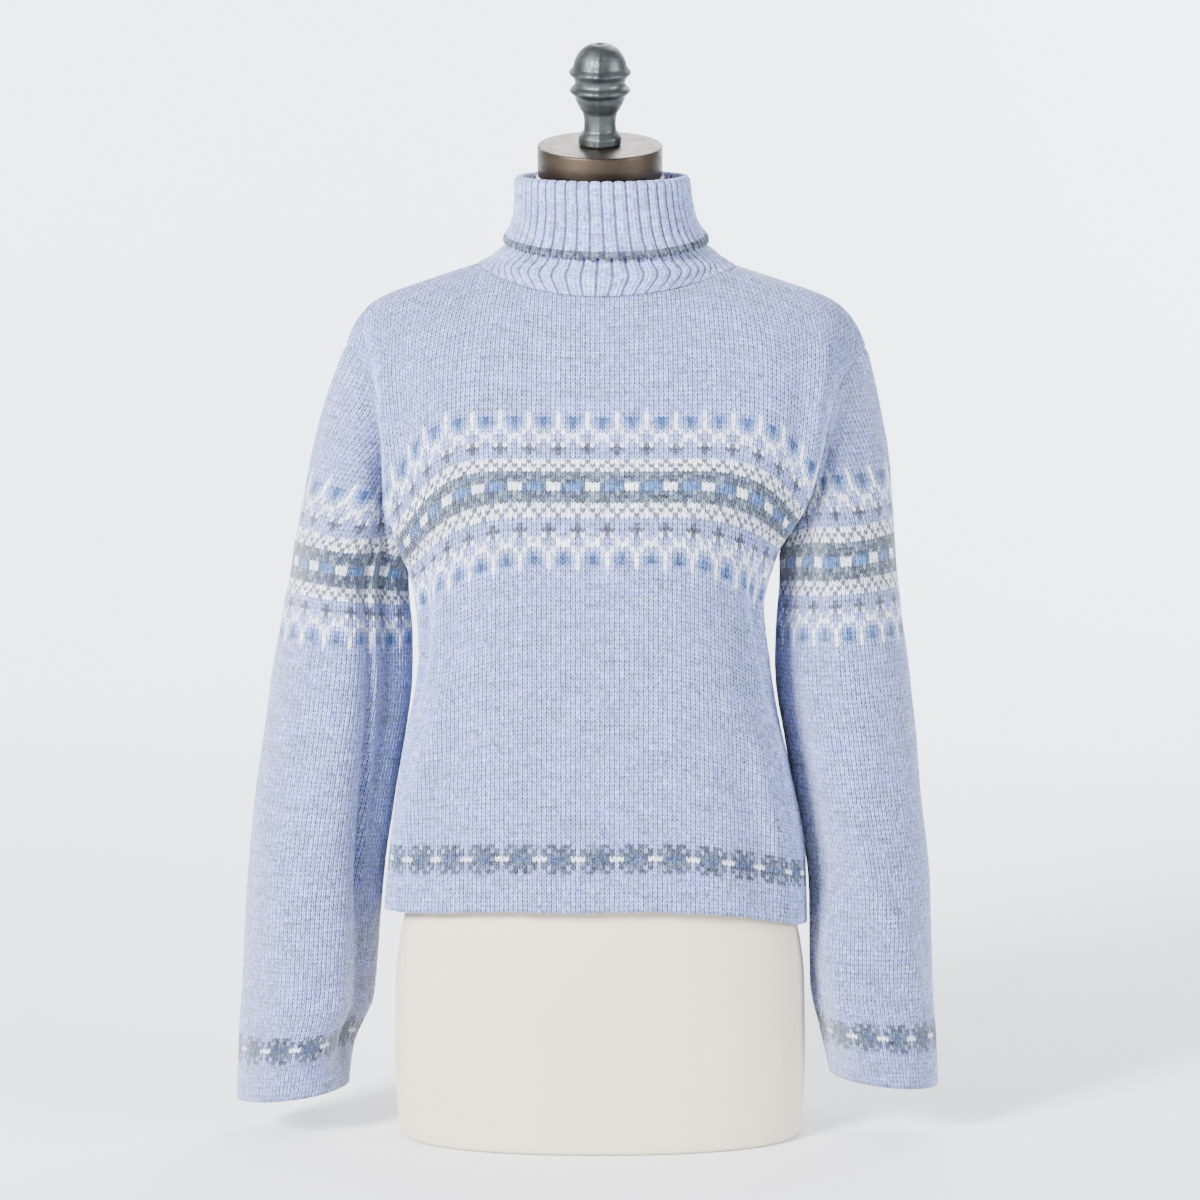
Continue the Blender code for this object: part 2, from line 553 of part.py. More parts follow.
def build_turned(name, profile, foot, finish):
    """A turned piece standing on the leaning neck, foot millimetres above the neck's top."""
    tip = math.radians(NECK_LEAN)
    axis = np.array([0.0, -math.sin(tip), math.cos(tip)])
    rings = []
    for radius, height in profile:
        centre = np.array(NECK_TOP) + axis * (foot + height)
        rings.append(ring_points(*centre, radius, radius, radius, 2.0, NECK_LEAN, TURNED_SEGMENTS))
    add_solid(name, *stack_rings(rings), finish)


def build_cap_and_finial():
    radius, height, bevel = NECK_CAP["radius"], NECK_CAP["height"], NECK_CAP["bevel"]
    profile = [(radius - 0.5, 0.0), (radius, 0.5)]
    for step in range(4):
        turn = step / 3 * math.pi / 2
        profile.append((radius - bevel + bevel * math.cos(turn), height - bevel + bevel * math.sin(turn)))
    build_turned("neck_cap", profile, SEAM_GAP, "bronze")
    build_turned("finial", FINIAL_PROFILE, SEAM_GAP + height + SEAM_GAP, "cast_metal")


for old in list(bpy.data.objects):
    bpy.data.objects.remove(old, do_unlink=True)
build_sweater()
build_form()
build_cap_and_finial()
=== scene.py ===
import math
import bpy
import numpy as np
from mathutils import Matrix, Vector


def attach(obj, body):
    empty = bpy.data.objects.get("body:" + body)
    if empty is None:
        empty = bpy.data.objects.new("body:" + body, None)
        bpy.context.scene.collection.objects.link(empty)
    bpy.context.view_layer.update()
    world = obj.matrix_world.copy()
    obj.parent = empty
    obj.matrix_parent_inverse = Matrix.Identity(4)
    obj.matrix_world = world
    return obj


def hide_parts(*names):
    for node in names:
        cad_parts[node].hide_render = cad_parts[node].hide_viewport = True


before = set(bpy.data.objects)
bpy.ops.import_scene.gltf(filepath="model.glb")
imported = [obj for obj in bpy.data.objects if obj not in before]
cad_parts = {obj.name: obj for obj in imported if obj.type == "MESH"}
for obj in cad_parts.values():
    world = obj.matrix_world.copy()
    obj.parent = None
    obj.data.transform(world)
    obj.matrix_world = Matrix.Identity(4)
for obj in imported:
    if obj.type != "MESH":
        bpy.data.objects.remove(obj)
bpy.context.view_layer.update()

mm = 0.001
rng = np.random.default_rng(41)
print("frame loaded")


# ---- helpers for surfaces ----

def tableCurve(knots, values, at):
    # cubic through a table's values that never overshoots them: harmonic mean of the slopes at each knot
    knots, values = np.asarray(knots, float), np.asarray(values, float)
    step = np.diff(knots)
    slope = np.diff(values) / step
    tangent = np.zeros(len(knots))
    both = slope[1:] * slope[:-1]
    tangent[1:-1] = np.where(both > 0, 2 * both / np.where(both > 0, slope[1:] + slope[:-1], 1.0), 0.0)
    tangent[0], tangent[-1] = slope[0], slope[-1]
    at = np.clip(at, knots[0], knots[-1])
    cell = np.clip(np.searchsorted(knots, at, side="right") - 1, 0, len(step) - 1)
    t = (at - knots[cell]) / step[cell]
    a, b, ra, rb = values[cell], values[cell + 1], tangent[cell] * step[cell], tangent[cell + 1] * step[cell]
    return a + t * ra + t**2 * (3 * (b - a) - 2 * ra - rb) + t**3 * (2 * (a - b) + ra + rb)


def column(table, name, at):
    where = table["columns"].index(name)
    return tableCurve([r[0] for r in table["rows"]], [r[where] for r in table["rows"]], at)


def unit(v):
    return v / np.maximum(np.linalg.norm(v, axis=-1, keepdims=True), 1e-9)


def latticeNormals(grid, closed):
    # cross product of the differences to the neighbours across and up
    wide = np.concatenate([grid[:, -2:-1], grid, grid[:, 1:2]], axis=1) if closed else grid
    across = (wide[:, 2:] - wide[:, :-2]) if closed else np.gradient(grid, axis=1)
    return unit(np.cross(across, np.gradient(grid, axis=0)))


def sample(grid, v, u):
    # bilinear look-up in a lattice, v and u from 0 to 1
    y = np.minimum(v, 1) * (grid.shape[0] - 1)
    x = np.clip(u, 0, 1) * (grid.shape[1] - 1)
    i = np.clip(y.astype(int), 0, grid.shape[0] - 2)
    j = np.minimum(x.astype(int), grid.shape[1] - 2)
    fy, fx = (y - i)[..., None], (x - j)[..., None]
    return ((grid[i, j] * (1 - fx) + grid[i, j + 1] * fx) * (1 - fy)
            + (grid[i + 1, j] * (1 - fx) + grid[i + 1, j + 1] * fx) * fy)


def foldPush(rows, up, across, girth, closed):
    # sum of soft ridges and troughs: height * exp(-(distance from a bowed line / width)^2),
    # fading at both ends
    push = np.zeros(np.broadcast(up, across).shape)
    for across0, up0, across1, up1, bow, width, height in rows:
        along = np.clip((up - up0) / (up1 - up0), 0, 1)
        middle = across0 + (across1 - across0) * along + bow * np.sin(math.pi * along)
        off = across - middle
        if closed:
            off = (off + 0.5) % 1.0 - 0.5
        ends = np.clip(np.minimum(up - min(up0, up1), max(up0, up1) - up) / 60.0 + 0.6, 0, 1)
        push = push + height * np.exp(-((off * girth / width) ** 2)) * ends**2 * (3 - 2 * ends)
    return push


# ---- the knitted body ----

body = {
    "length": 540.0, "underarm": 318.0,
    "neckDrop": {"front": 32.0, "back": 10.0}, "neckRound": 2.6, "neckPoint": (98.0, 109.0),
    "walePitch": 3.87, "halfWales": 69, "rows": 154,
    "hemBand": 9, "chestBand": 79, "bandRise": 4.3, "bandMiddle": 95.0, "bandReach": 7.5,
    "wall": 2.2, "halfRow": 225.0, "edgeFade": 0.05,
    "seamDip": 1.3, "seamWidth": 2.4, "hemWave": 0.7,
}
bodyMiddle = {
    "columns": ("up", "frontY", "frontZ", "backY", "backZ", "square", "level", "slope", "curl", "neck",
                "crest"),
    "rows": (
        (0.0, -105.0, 202.0, 112.0, 192.0, 2.20, 0.20, 0.00, 2.2, 0.0, 0.0),
        (60.0, -106.0, 262.0, 110.0, 252.0, 2.20, 0.20, 0.00, 2.2, 0.0, 0.0),
        (150.0, -109.0, 351.0, 100.0, 341.0, 2.25, 0.20, 0.00, 2.2, 0.0, 0.0),
        (240.0, -116.0, 440.0, 96.0, 431.0, 2.30, 0.20, 0.00, 2.4, 0.0, 0.0),
        (318.0, -124.0, 517.0, 98.0, 509.0, 2.30, 0.25, 0.00, 3.0, 0.0, 0.0),
        (360.0, -122.0, 558.0, 99.0, 550.0, 2.25, 0.35, 0.00, 3.6, 0.0, 0.0),
        (400.0, -114.0, 597.0, 97.0, 590.0, 2.20, 0.45, 0.05, 4.0, 0.0, 0.0),
        (440.0, -103.0, 635.0, 91.0, 629.0, 2.10, 0.47, 0.20, 5.0, 0.1, 5.0),
        (480.0, -89.0, 670.0, 80.0, 667.0, 2.00, 0.47, 0.40, 6.5, 0.4, 11.0),
        (508.0, -78.0, 693.5, 72.0, 693.0, 2.00, 0.47, 0.50, 8.0, 0.78, 11.5),
        (525.0, -72.0, 708.0, 69.0, 708.0, 2.00, 0.47, 0.52, 9.0, 0.92, 8.0),
        (540.0, -66.0, 720.0, 66.0, 720.0, 2.00, 0.47, 0.53, 9.0, 1.0, 0.0),
    ),
}
bodyEdge = {
    "columns": ("up", "leftX", "leftZ", "leftFrontY", "leftBackY", "rightX", "rightZ", "rightFrontY",
                "rightBackY"),
    "rows": (
        (0.0, -178.0, 189.0, 3.0, 3.0, 171.0, 177.0, 3.0, 3.0),
        (60.0, -172.0, 248.0, 2.0, 2.0, 169.0, 234.0, 2.0, 2.0),
        (150.0, -161.0, 325.0, 0.0, 0.0, 155.0, 309.0, 0.0, 0.0),
        (200.0, -152.5, 366.0, 0.0, 0.0, 145.0, 354.0, 0.0, 0.0),
        (240.0, -148.5, 400.0, 0.0, 0.0, 139.0, 392.0, 0.0, 0.0),
        (280.0, -150.0, 435.0, 1.0, 1.0, 134.0, 438.0, 1.0, 1.0),
        (318.0, -156.0, 466.0, 3.0, 3.0, 146.0, 483.0, 3.0, 3.0),
        (345.0, -160.0, 484.0, -18.0, 24.0, 155.0, 501.0, -21.0, 24.0),
        (375.0, -165.0, 508.0, -29.0, 38.0, 166.0, 524.0, -37.0, 38.0),
        (410.0, -171.0, 540.0, -33.0, 46.0, 176.0, 555.0, -48.0, 46.0),
        (450.0, -175.5, 578.0, -33.0, 46.0, 184.0, 591.0, -50.0, 46.0),
        (490.0, -181.0, 613.0, -28.0, 37.0, 194.0, 622.0, -39.0, 37.0),
        (520.0, -193.0, 637.0, -18.0, 23.0, 207.0, 640.0, -22.0, 23.0),
        (540.0, -208.0, 652.0, 2.0, 2.0, 218.0, 650.0, 2.0, 2.0),
    ),
}
# across0, up0, across1, up1, bow, width, height: the first rows are the large folds, the
# rest the smaller creases
bodyFolds = {
    "front": (
        (-0.89, 505.0, -0.89, 345.0, 0.0, 17.0, 6.5),
        (0.87, 500.0, 0.88, 370.0, 0.0, 16.0, 5.0),
        (-0.76, 310.0, -0.88, 195.0, 0.0, 16.0, -6.0),
        (0.72, 305.0, 0.86, 200.0, 0.0, 16.0, -5.0),
        (-0.61, 300.0, -0.73, 205.0, 0.0, 13.0, 2.6),
        (0.58, 300.0, 0.70, 215.0, 0.0, 14.0, 2.0),
        (-0.63, 185.0, -0.80, 55.0, 0.0, 13.0, 3.8),
        (-0.52, 165.0, -0.66, 20.0, 0.02, 20.0, -2.8),
        (0.64, 160.0, 0.73, 20.0, -0.01, 12.0, 3.4),
        (0.52, 130.0, 0.60, 5.0, 0.02, 17.0, -2.4),
        (-0.20, 120.0, -0.24, 0.0, 0.02, 26.0, 1.4),
        (0.18, 105.0, 0.15, 0.0, -0.02, 30.0, -1.3),
        (-0.86, 345.0, -0.60, 300.0, 0.02, 9.0, -2.4),
        (0.86, 345.0, 0.64, 308.0, -0.02, 9.0, -2.0),
        (-0.78, 470.0, -0.80, 380.0, 0.02, 14.0, -2.2),
        (0.79, 470.0, 0.80, 400.0, -0.01, 15.0, -1.8),
        (-0.46, 500.0, -0.60, 440.0, 0.02, 16.0, 1.0),
        (0.44, 498.0, 0.60, 452.0, 0.02, 14.0, 0.9),
    ),
    "back": (
        (-0.93, 305.0, -0.60, 220.0, 0.03, 13.0, -3.6),
        (0.92, 310.0, 0.62, 235.0, -0.02, 14.0, -3.2),
        (-0.80, 250.0, -0.50, 190.0, 0.02, 12.0, 2.4),
        (0.80, 230.0, 0.44, 180.0, 0.02, 15.0, 2.2),
        (-0.84, 160.0, -0.70, 25.0, 0.02, 16.0, 2.6),
        (0.82, 150.0, 0.72, 12.0, -0.03, 15.0, 2.4),
        (-0.36, 150.0, -0.46, 0.0, 0.02, 20.0, -1.8),
        (0.30, 130.0, 0.40, 0.0, -0.02, 24.0, 1.8),
        (0.02, 115.0, -0.05, 0.0, 0.01, 22.0, -1.2),
        (-0.80, 480.0, -0.84, 380.0, 0.02, 14.0, -2.4),
        (0.82, 470.0, 0.84, 375.0, -0.02, 15.0, -2.2),
        (-0.52, 430.0, -0.62, 350.0, 0.03, 16.0, 1.5),
        (0.50, 440.0, 0.58, 365.0, -0.02, 18.0, 1.3),
    ),
}


def rowPoints(face, up, turn):
    # a knitted row in plan is a superellipse from the middle line to the edge, held by the neck near the
    # top; its height falls from the middle to the edge partly evenly and partly late, by a power
    right = turn >= 0
    pick = lambda name: np.where(right, column(bodyEdge, "right" + name, up),
                                 column(bodyEdge, "left" + name, up))
    edgeX, edgeZ, edgeY = pick("X"), pick("Z"), pick(face.capitalize() + "Y")
    angle = np.abs(turn) * math.pi / 2
    square = column(bodyMiddle, "square", up)
    share, ellipse = np.sin(angle) ** (2 / square), np.cos(angle) ** (2 / square)
    x = edgeX * share
    bell = np.clip(1 - (x / np.where(right, body["neckPoint"][1], body["neckPoint"][0])) ** 2, 0, 1) ** 1.2
    neck = column(bodyMiddle, "neck", up)
    depth = (1 - neck) * ellipse + neck * bell
    level, slope = column(bodyMiddle, "level", up), column(bodyMiddle, "slope", up)
    fall = np.clip((share - level) / (1 - level), 0, 1)
    fall = slope * fall + (1 - slope) * fall ** column(bodyMiddle, "curl", up)
    y = column(bodyMiddle, face + "Y", up)
    z = column(bodyMiddle, face + "Z", up) + column(bodyMiddle, "crest", up) * (1 - bell)
    return np.stack([x, edgeY + (y - edgeY) * depth, z + (edgeZ - z) * fall], axis=-1)


def panelLattice(face, ups=271, acrosses=121):
    # points of a panel over up 0 to 1 and across -1 to 1, even along each half row, with its folds
    heights = np.linspace(0, body["length"], ups)
    halves, lengths = [], []
    for sign in (-1, 1):
        turns = np.linspace(0, 1, 241)
        row = rowPoints(face, heights[:, None], sign * np.maximum(turns, 1e-9)[None, :])
        run = np.concatenate([np.zeros((ups, 1)),
                              np.cumsum(np.linalg.norm(np.diff(row, axis=1), axis=2), axis=1)], axis=1)
        lengths.append(run[:, -1])
        wanted = np.linspace(0, 1, acrosses)
        turn = np.array([np.interp(wanted * r[-1], r, turns) for r in run])
        halves.append(rowPoints(face, heights[:, None], sign * np.maximum(turn, 1e-9)))
    grid = np.concatenate([halves[0][:, ::-1], halves[1][:, 1:]], axis=1)
    across = np.linspace(-1, 1, grid.shape[1])[None, :]
    normals = latticeNormals(grid, False)
    normals *= np.sign((normals[..., 1] * (1 if face == "back" else -1)).sum())
    push = foldPush(bodyFolds[face], heights[:, None], across, body["halfRow"], False)
    grid = grid + normals * (push * np.clip((1 - np.abs(across)) / body["edgeFade"], 0, 1))[..., None]
    normals = latticeNormals(grid, False)
    normals *= np.sign((normals[..., 1] * (1 if face == "back" else -1)).sum())
    return {"points": grid, "normals": normals, "lengths": np.array(lengths), "heights": heights}


def neckShare(lattice):
    # share of the top row at which the neckline meets it, left and right
    top = lattice["points"][-1]
    middle = len(top) // 2
    shares = np.linspace(0, 1, middle + 1)
    return (np.interp(body["neckPoint"][0], -top[middle::-1, 0], shares),
            np.interp(body["neckPoint"][1], top[middle:, 0], shares))


def panelPlace(face, lattice):
    neck = neckShare(lattice)

    def place(rowAt, wale, lift):
        up = np.where(rowAt <= 0.3, 0.0, rowAt) * body["length"] / body["rows"]
        # rows spread over the bust
        up = up + body["bandRise"] * np.exp(-(((rowAt - body["bandMiddle"]) / body["bandReach"]) ** 2))
        # the hem's edge waves a little
        wave = (np.sin(wale * 1.9) + np.sin(wale * 0.61 + 1) + np.sin(wale * 0.23)) / 3 * body["hemWave"]
        up = np.clip(up + wave * np.exp(-((up / 5.0) ** 2)), -body["hemWave"], body["length"])
        side = (wale > 0).astype(int)
        length = np.where(side, np.interp(up, lattice["heights"], lattice["lengths"][1]),
                          np.interp(up, lattice["heights"], lattice["lengths"][0]))
        across = wale * body["walePitch"] / length      # the side seam and the armhole cut wales away
        cut = np.abs(across) >= 1 - 1e-6
        across = np.clip(across, -1, 1)
        inNeck = np.abs(across) / np.where(across > 0, neck[1], neck[0])
        top = (body["length"] - body["neckDrop"][face]
               * np.clip(1 - inNeck ** body["neckRound"], 0, 1) ** (1 / body["neckRound"]))
        cut |= up >= top - 1e-4
        up = np.minimum(up, top)
        v, u = up / body["length"], (across + 1) / 2
        fromEdge = np.minimum((1 - np.abs(across)) * length, top - up)
        dip = body["seamDip"] * np.exp(-((fromEdge / body["seamWidth"]) ** 2))
        normal = unit(sample(lattice["normals"], v, u))
        return sample(lattice["points"], v, u) + normal * (lift - dip)[..., None], cut
    return place


# ---- the knitted sleeves ----

sleeve = {
    "capUnder": {"left": 455.0, "right": 463.0}, "capTop": {"left": 616.0, "right": 612.0},
    "capEven": 0.7, "capEase": 95.0, "round": 325.0,
    "hollow": {"left": 14.0, "right": 4.0}, "hollowAt": 17.0, "hollowWidth": 14.0,
    "wales": 96, "rows": {"left": 168, "right": 157},
    "cuffBand": {"left": 9, "right": 8}, "armBand": {"left": 104, "right": 96},
    "wall": 2.2, "seamDip": 1.5, "seamWidth": 2.8,
}
sleeveSections = {
    "left": {
        "columns": ("up", "x", "y", "z", "halfWidth", "halfDepth", "tilt"),
        "rows": (
            (0.0, -254.5, -3.0, 35.0, 46.5, 42.0, -0.12),
            (35.0, -250.0, -3.0, 68.0, 49.5, 44.0, -0.09),
            (85.0, -240.5, -2.0, 112.0, 56.5, 46.0, -0.05),
            (170.0, -235.5, 0.0, 196.0, 56.5, 46.0, 0.00),
            (255.0, -225.6, 0.0, 280.0, 58.2, 46.0, 0.02),
            (340.0, -212.9, 0.0, 364.0, 58.6, 46.5, 0.05),
            (395.0, -207.5, 0.0, 418.0, 54.5, 47.0, 0.08),
            (450.0, -205.0, 1.0, 470.0, 46.5, 47.0, 0.15),
            (510.0, -195.0, 2.0, 528.0, 44.5, 45.0, 0.30),
            (570.0, -186.5, 2.0, 590.0, 40.5, 40.0, 0.42),
            (620.0, -181.0, 2.0, 640.0, 31.0, 31.0, 0.45),
        ),
    },
    "right": {
        "columns": ("up", "x", "y", "z", "halfWidth", "halfDepth", "tilt"),
        "rows": (
            (0.0, 235.5, -3.0, 46.0, 44.5, 43.0, -0.11),
            (35.0, 231.0, -3.0, 79.0, 47.5, 45.0, -0.07),
            (85.0, 224.5, -1.0, 123.0, 50.5, 48.0, -0.03),
            (170.0, 222.5, 2.0, 206.0, 50.0, 49.0, 0.00),
            (255.0, 211.2, 4.0, 289.0, 52.3, 49.5, 0.02),
            (300.0, 205.6, 4.0, 333.5, 54.2, 49.0, 0.03),
            (340.0, 200.0, 4.0, 373.0, 55.0, 48.0, 0.05),
            (395.0, 195.9, 3.0, 427.0, 51.6, 48.0, 0.06),
            (450.0, 194.0, 2.0, 480.0, 47.5, 47.0, 0.12),
            (510.0, 190.0, 2.0, 537.0, 47.0, 45.0, 0.25),
            (570.0, 187.0, 2.0, 594.0, 42.0, 41.0, 0.40),
            (620.0, 188.0, 2.0, 642.0, 32.0, 31.0, 0.45),
        ),
    },
}
sleeveFolds = {
    "left": (
        (0.11, 465.0, 0.066, 25.0, 0.01, 27.0, -16.0),
        (0.195, 470.0, 0.10, 175.0, 0.018, 7.0, -6.0),
        (0.165, 455.0, 0.08, 200.0, 0.018, 5.0, 3.5),
        (0.235, 400.0, 0.16, 150.0, 0.01, 14.0, 2.0),
        (0.15, 190.0, 0.12, 50.0, 0.01, 13.0, 2.6),
        (0.30, 330.0, 0.36, 240.0, -0.02, 15.0, -1.3),
        (0.42, 260.0, 0.30, 170.0, 0.01, 16.0, 1.4),
        (0.40, 150.0, 0.33, 60.0, 0.02, 18.0, -1.2),
        (0.84, 440.0, 0.80, 330.0, 0.02, 12.0, -3.4),
        (0.90, 330.0, 0.82, 210.0, -0.02, 13.0, -3.2),
        (0.76, 300.0, 0.70, 180.0, 0.02, 15.0, 2.4),
        (0.66, 230.0, 0.78, 90.0, 0.02, 14.0, -2.0),
        (0.93, 190.0, 0.86, 60.0, 0.01, 16.0, 2.2),
    ),
    "right": (
        (0.16, 470.0, 0.20, 330.0, 0.0, 12.0, -4.0),
        (0.22, 445.0, 0.26, 340.0, 0.01, 14.0, 2.0),
        (0.07, 430.0, 0.06, 60.0, 0.0, 17.0, -4.0),
        (0.22, 215.0, 0.38, 100.0, -0.01, 10.0, 3.6),
        (0.16, 190.0, 0.30, 90.0, -0.01, 13.0, -3.0),
        (0.34, 290.0, 0.26, 210.0, 0.02, 16.0, -1.3),
        (0.11, 330.0, 0.14, 150.0, -0.02, 14.0, -2.6),
        (0.09, 150.0, 0.15, 40.0, 0.01, 15.0, 2.0),
        (0.85, 450.0, 0.81, 345.0, -0.02, 12.0, -3.2),
        (0.88, 340.0, 0.80, 225.0, 0.02, 14.0, -3.0),
        (0.75, 320.0, 0.69, 200.0, -0.02, 14.0, 2.2),
        (0.70, 210.0, 0.80, 80.0, 0.01, 15.0, -1.8),
    ),
}


def capLine(side, around):
    # height of the sleeve's top edge: part even, part a cosine, from the underarm to the shoulder tip
    rise = np.minimum(around, 1 - around) * 2
    cap = sleeve["capEven"] * rise + (1 - sleeve["capEven"]) * (1 - np.cos(math.pi * rise)) / 2
    return sleeve["capUnder"][side] + (sleeve["capTop"][side] - sleeve["capUnder"][side]) * cap


def sleeveLattice(side, front, back, ups=281, arounds=161):
    # tilted ellipses up the sleeve, with their folds, drawn over to the armhole where they near it
    around = np.linspace(0, 1, arounds)
    half = np.minimum(around, 1 - around) * 2
    rim = (body["underarm"] + (body["length"] - body["underarm"]) * half) / body["length"]
    u = 0.0 if side == "left" else 1.0
    loop = np.where((around <= 0.5)[:, None], sample(front["points"], rim, np.full(arounds, u)),
                    sample(back["points"], rim, np.full(arounds, u)))
    top = capLine(side, around)
    up = np.linspace(0, 1, ups)[:, None] * top[None, :]
    value = {name: column(sleeveSections[side], name, up) for name in sleeveSections[side]["columns"][1:]}
    outward = -1 if side == "left" else 1
    angle = 2 * math.pi * around[None, :]
    out = -outward * np.cos(angle) * value["halfWidth"]
    grid = np.stack([value["x"] + out, value["y"] - np.sin(angle) * value["halfDepth"],
                     value["z"] + outward * out * value["tilt"]], axis=-1)

    def outside(points):
        normals = latticeNormals(points, True)
        return normals * np.sign((normals * (points - points[:, :-1].mean(axis=1, keepdims=True))).sum())
    grid = grid + outside(grid) * foldPush(sleeveFolds[side], up, around[None, :], sleeve["round"],
                                           True)[..., None]
    # the cloth sinks in beside the armhole's seam, most between the underarm and the shoulder
    span = np.clip((half - 0.2) / 0.25, 0, 1) * np.clip((0.86 - half) / 0.2, 0, 1)
    sink = (sleeve["hollow"][side] * span
            * np.exp(-(((top - up - sleeve["hollowAt"]) / sleeve["hollowWidth"]) ** 2)))
    grid = grid - outside(grid) * sink[..., None]
    ease = np.clip(1 - (top[None, :] - up) / sleeve["capEase"], 0, 1)
    grid = grid + (loop - grid[-1])[None] * (ease * ease * (3 - 2 * ease))[..., None]
    return {"points": grid, "normals": outside(grid)}


def sleevePlace(side, lattice):
    def place(rowAt, wale, lift):
        around = wale / sleeve["wales"]
        up = np.where(rowAt <= 0.3, 0.0, rowAt) * sleeve["capTop"][side] / sleeve["rows"][side]
        top = capLine(side, np.clip(around, 0, 1))
        cut = up >= top - 1e-4
        up = np.clip(up, 0, top)
        v = up / top
        girth = sleeve["round"] * np.minimum(around, 1 - around)
        dip = (sleeve["seamDip"] * np.exp(-(((top - up) / sleeve["seamWidth"]) ** 2))
               + 0.5 * np.exp(-((girth / 2.0) ** 2)))
        normal = unit(sample(lattice["normals"], v, around))
        return sample(lattice["points"], v, around) + normal * (lift - dip)[..., None], cut
    return place


# ---- knitting: yarns and charts ----

yarn = {                      # linear colour
    ".": (0.30, 0.37, 0.655), "l": (0.47, 0.55, 0.80), "w": (0.96, 1.0, 1.0), "b": (0.030, 0.16, 0.44),
    "B": (0.008, 0.045, 0.17),
    "e": (0.09, 0.25, 0.52), "c": (0.03, 0.08, 0.18), "s": (0.022, 0.030, 0.075), "g": (0.065, 0.105, 0.145),
    "p": (0.03, 0.03, 0.08),
    "m": (0.25, 0.34, 0.39), "t": (0.022, 0.032, 0.065), "n": (0.06, 0.09, 0.12),
}
# one line for each knitted row, from the band's edge to its middle; it repeats along the row
chestChart = (
    "l.....",
    "w.....",
    "w.bBb.",
    "w.eBe.",
    "wl.b.l",
    ".w.l.w",
    "..www.",
    "..w.w.",
    "pw...w",
    "pp...p",
    "p.....",
    "......",
    "pwww",
    "wpwp",
    "wwgw",
    "gsmgsggm",
    "sgsgmsgs",
    "mgsmgsgs",
    "wwwBebbB",
)
# the lower half of the band is knitted two stitches further on than the upper half
chestPhase = (3, 5)

hemChart = (
    "..ss.ss.",
    ".s.sgs.s",
    ".ssgcgss",
    "wwcBcBcw",
)
knitSoftness = 0.16          # how much of its neighbours' colour a brushed stitch takes on


def bandStitches(rows, wales, bands):
    # letter of every stitch: a band's chart runs from its edge to its middle and back
    letters = np.full((rows, len(wales)), ".")
    for chart, first, count, phase in bands:
        for k in range(count):
            line = chart[min(k, count - 1 - k)]
            below = k < count // 2 and min(k, count - 1 - k) < len(chart) - 1
            letters[first + k] = np.array(list(line))[(wales + phase[below]) % len(line)]
    # the two slate yarns are spun together, so that they change places every few stitches
    mixed = np.isin(letters, ("g", "s"))
    runs = rng.normal(0, 1, letters.shape)
    runs = runs + 0.6 * np.roll(runs, 1, axis=1)
    return np.where(mixed & (runs > 0.55), "s", np.where(mixed & (runs < -0.75), "g", letters))


def stitchColours(letters):
    # each stitch takes its yarn's colour, softened by its neighbours', with the heather's differences
    # from stitch to stitch and its longer streaks along the rows
    names = sorted(yarn)
    table = np.array([yarn[n] for n in names])
    colours = table[np.searchsorted(names, letters)]
    near = sum(np.roll(colours, k, axis=a) for k, a in ((1, 0), (-1, 0), (1, 1), (-1, 1))) / 4
    near[0], near[-1] = colours[0], colours[-1]
    colours = colours * (1 - knitSoftness) + near * knitSoftness
    light = rng.normal(0, 1, letters.shape)
    streak = rng.normal(0, 1, letters.shape)
    for _ in range(3):
        streak = (streak + np.roll(streak, 1, axis=1) + np.roll(streak, 2, axis=1)) / 1.75
    streak = streak / streak.std()
    slate = np.isin(letters, ("g", "s", "t", "n"))
    amount = np.where(slate, 0.30, np.where(letters == "w", 0.03, 0.10))
    tint = rng.normal(0, 0.04, letters.shape) + 0.05 * streak
    colours = colours * (1 + amount * light + np.where(letters == "w", 0.01, 0.09) * streak)[..., None]
    colours = colours * np.stack([1 - 0.5 * tint, 1 - tint, 1 + 0.4 * tint], axis=-1)
    return np.clip(colours, 0, 1)


stitch = {
    "drop": 0.25,          # how far the middle of a stitch hangs below its sides, in rows
    "leg": 0.42, "valley": -0.34, "middle": -0.04,     # mm: a leg, the gap between wales, the V
    "wander": 0.10,        # unevenness of the hand in mm
}


def gridTriangles(rows, count, closed):
    i, j = np.meshgrid(np.arange(rows - 1), np.arange(count if closed else count - 1), indexing="ij")
    i, j = i.ravel(), j.ravel()
    k = (j + 1) % count
    a, b, c, d = i * count + j, i * count + k, (i + 1) * count + k, (i + 1) * count + j
    uv = np.stack([np.stack([j, i], -1), np.stack([j + 1, i], -1), np.stack([j + 1, i + 1], -1),
                   np.stack([j, i + 1], -1)], axis=1)
    return np.stack([a, b, c, d], -1), uv, i, j


def splitQuads(quads, *corners):
    order = np.array([0, 1, 2, 0, 2, 3])
    return [quads[:, order].reshape(-1, 3)] + [c[:, order].reshape(len(quads) * 2, 3, -1) for c in corners]


def rimLoops(triangles):
    # the open edges of a mesh as ordered loops of its vertices
    edges = np.concatenate([triangles[:, [0, 1]], triangles[:, [1, 2]], triangles[:, [2, 0]]])
    big = int(triangles.max()) + 1
    open_ = edges[~np.isin(edges[:, 0].astype(np.int64) * big + edges[:, 1],
                           edges[:, 1].astype(np.int64) * big + edges[:, 0])]
    after = dict(zip(open_[:, 0].tolist(), open_[:, 1].tolist()))
    loops = []
    while after:
        start, at = next(iter(after.items()))
        del after[start]
        loop = [start]
        while at != start and at in after:
            loop.append(at)
            at = after.pop(at)
        loops.append(np.array(loop))
    return [loop for loop in loops if len(loop) > 8]


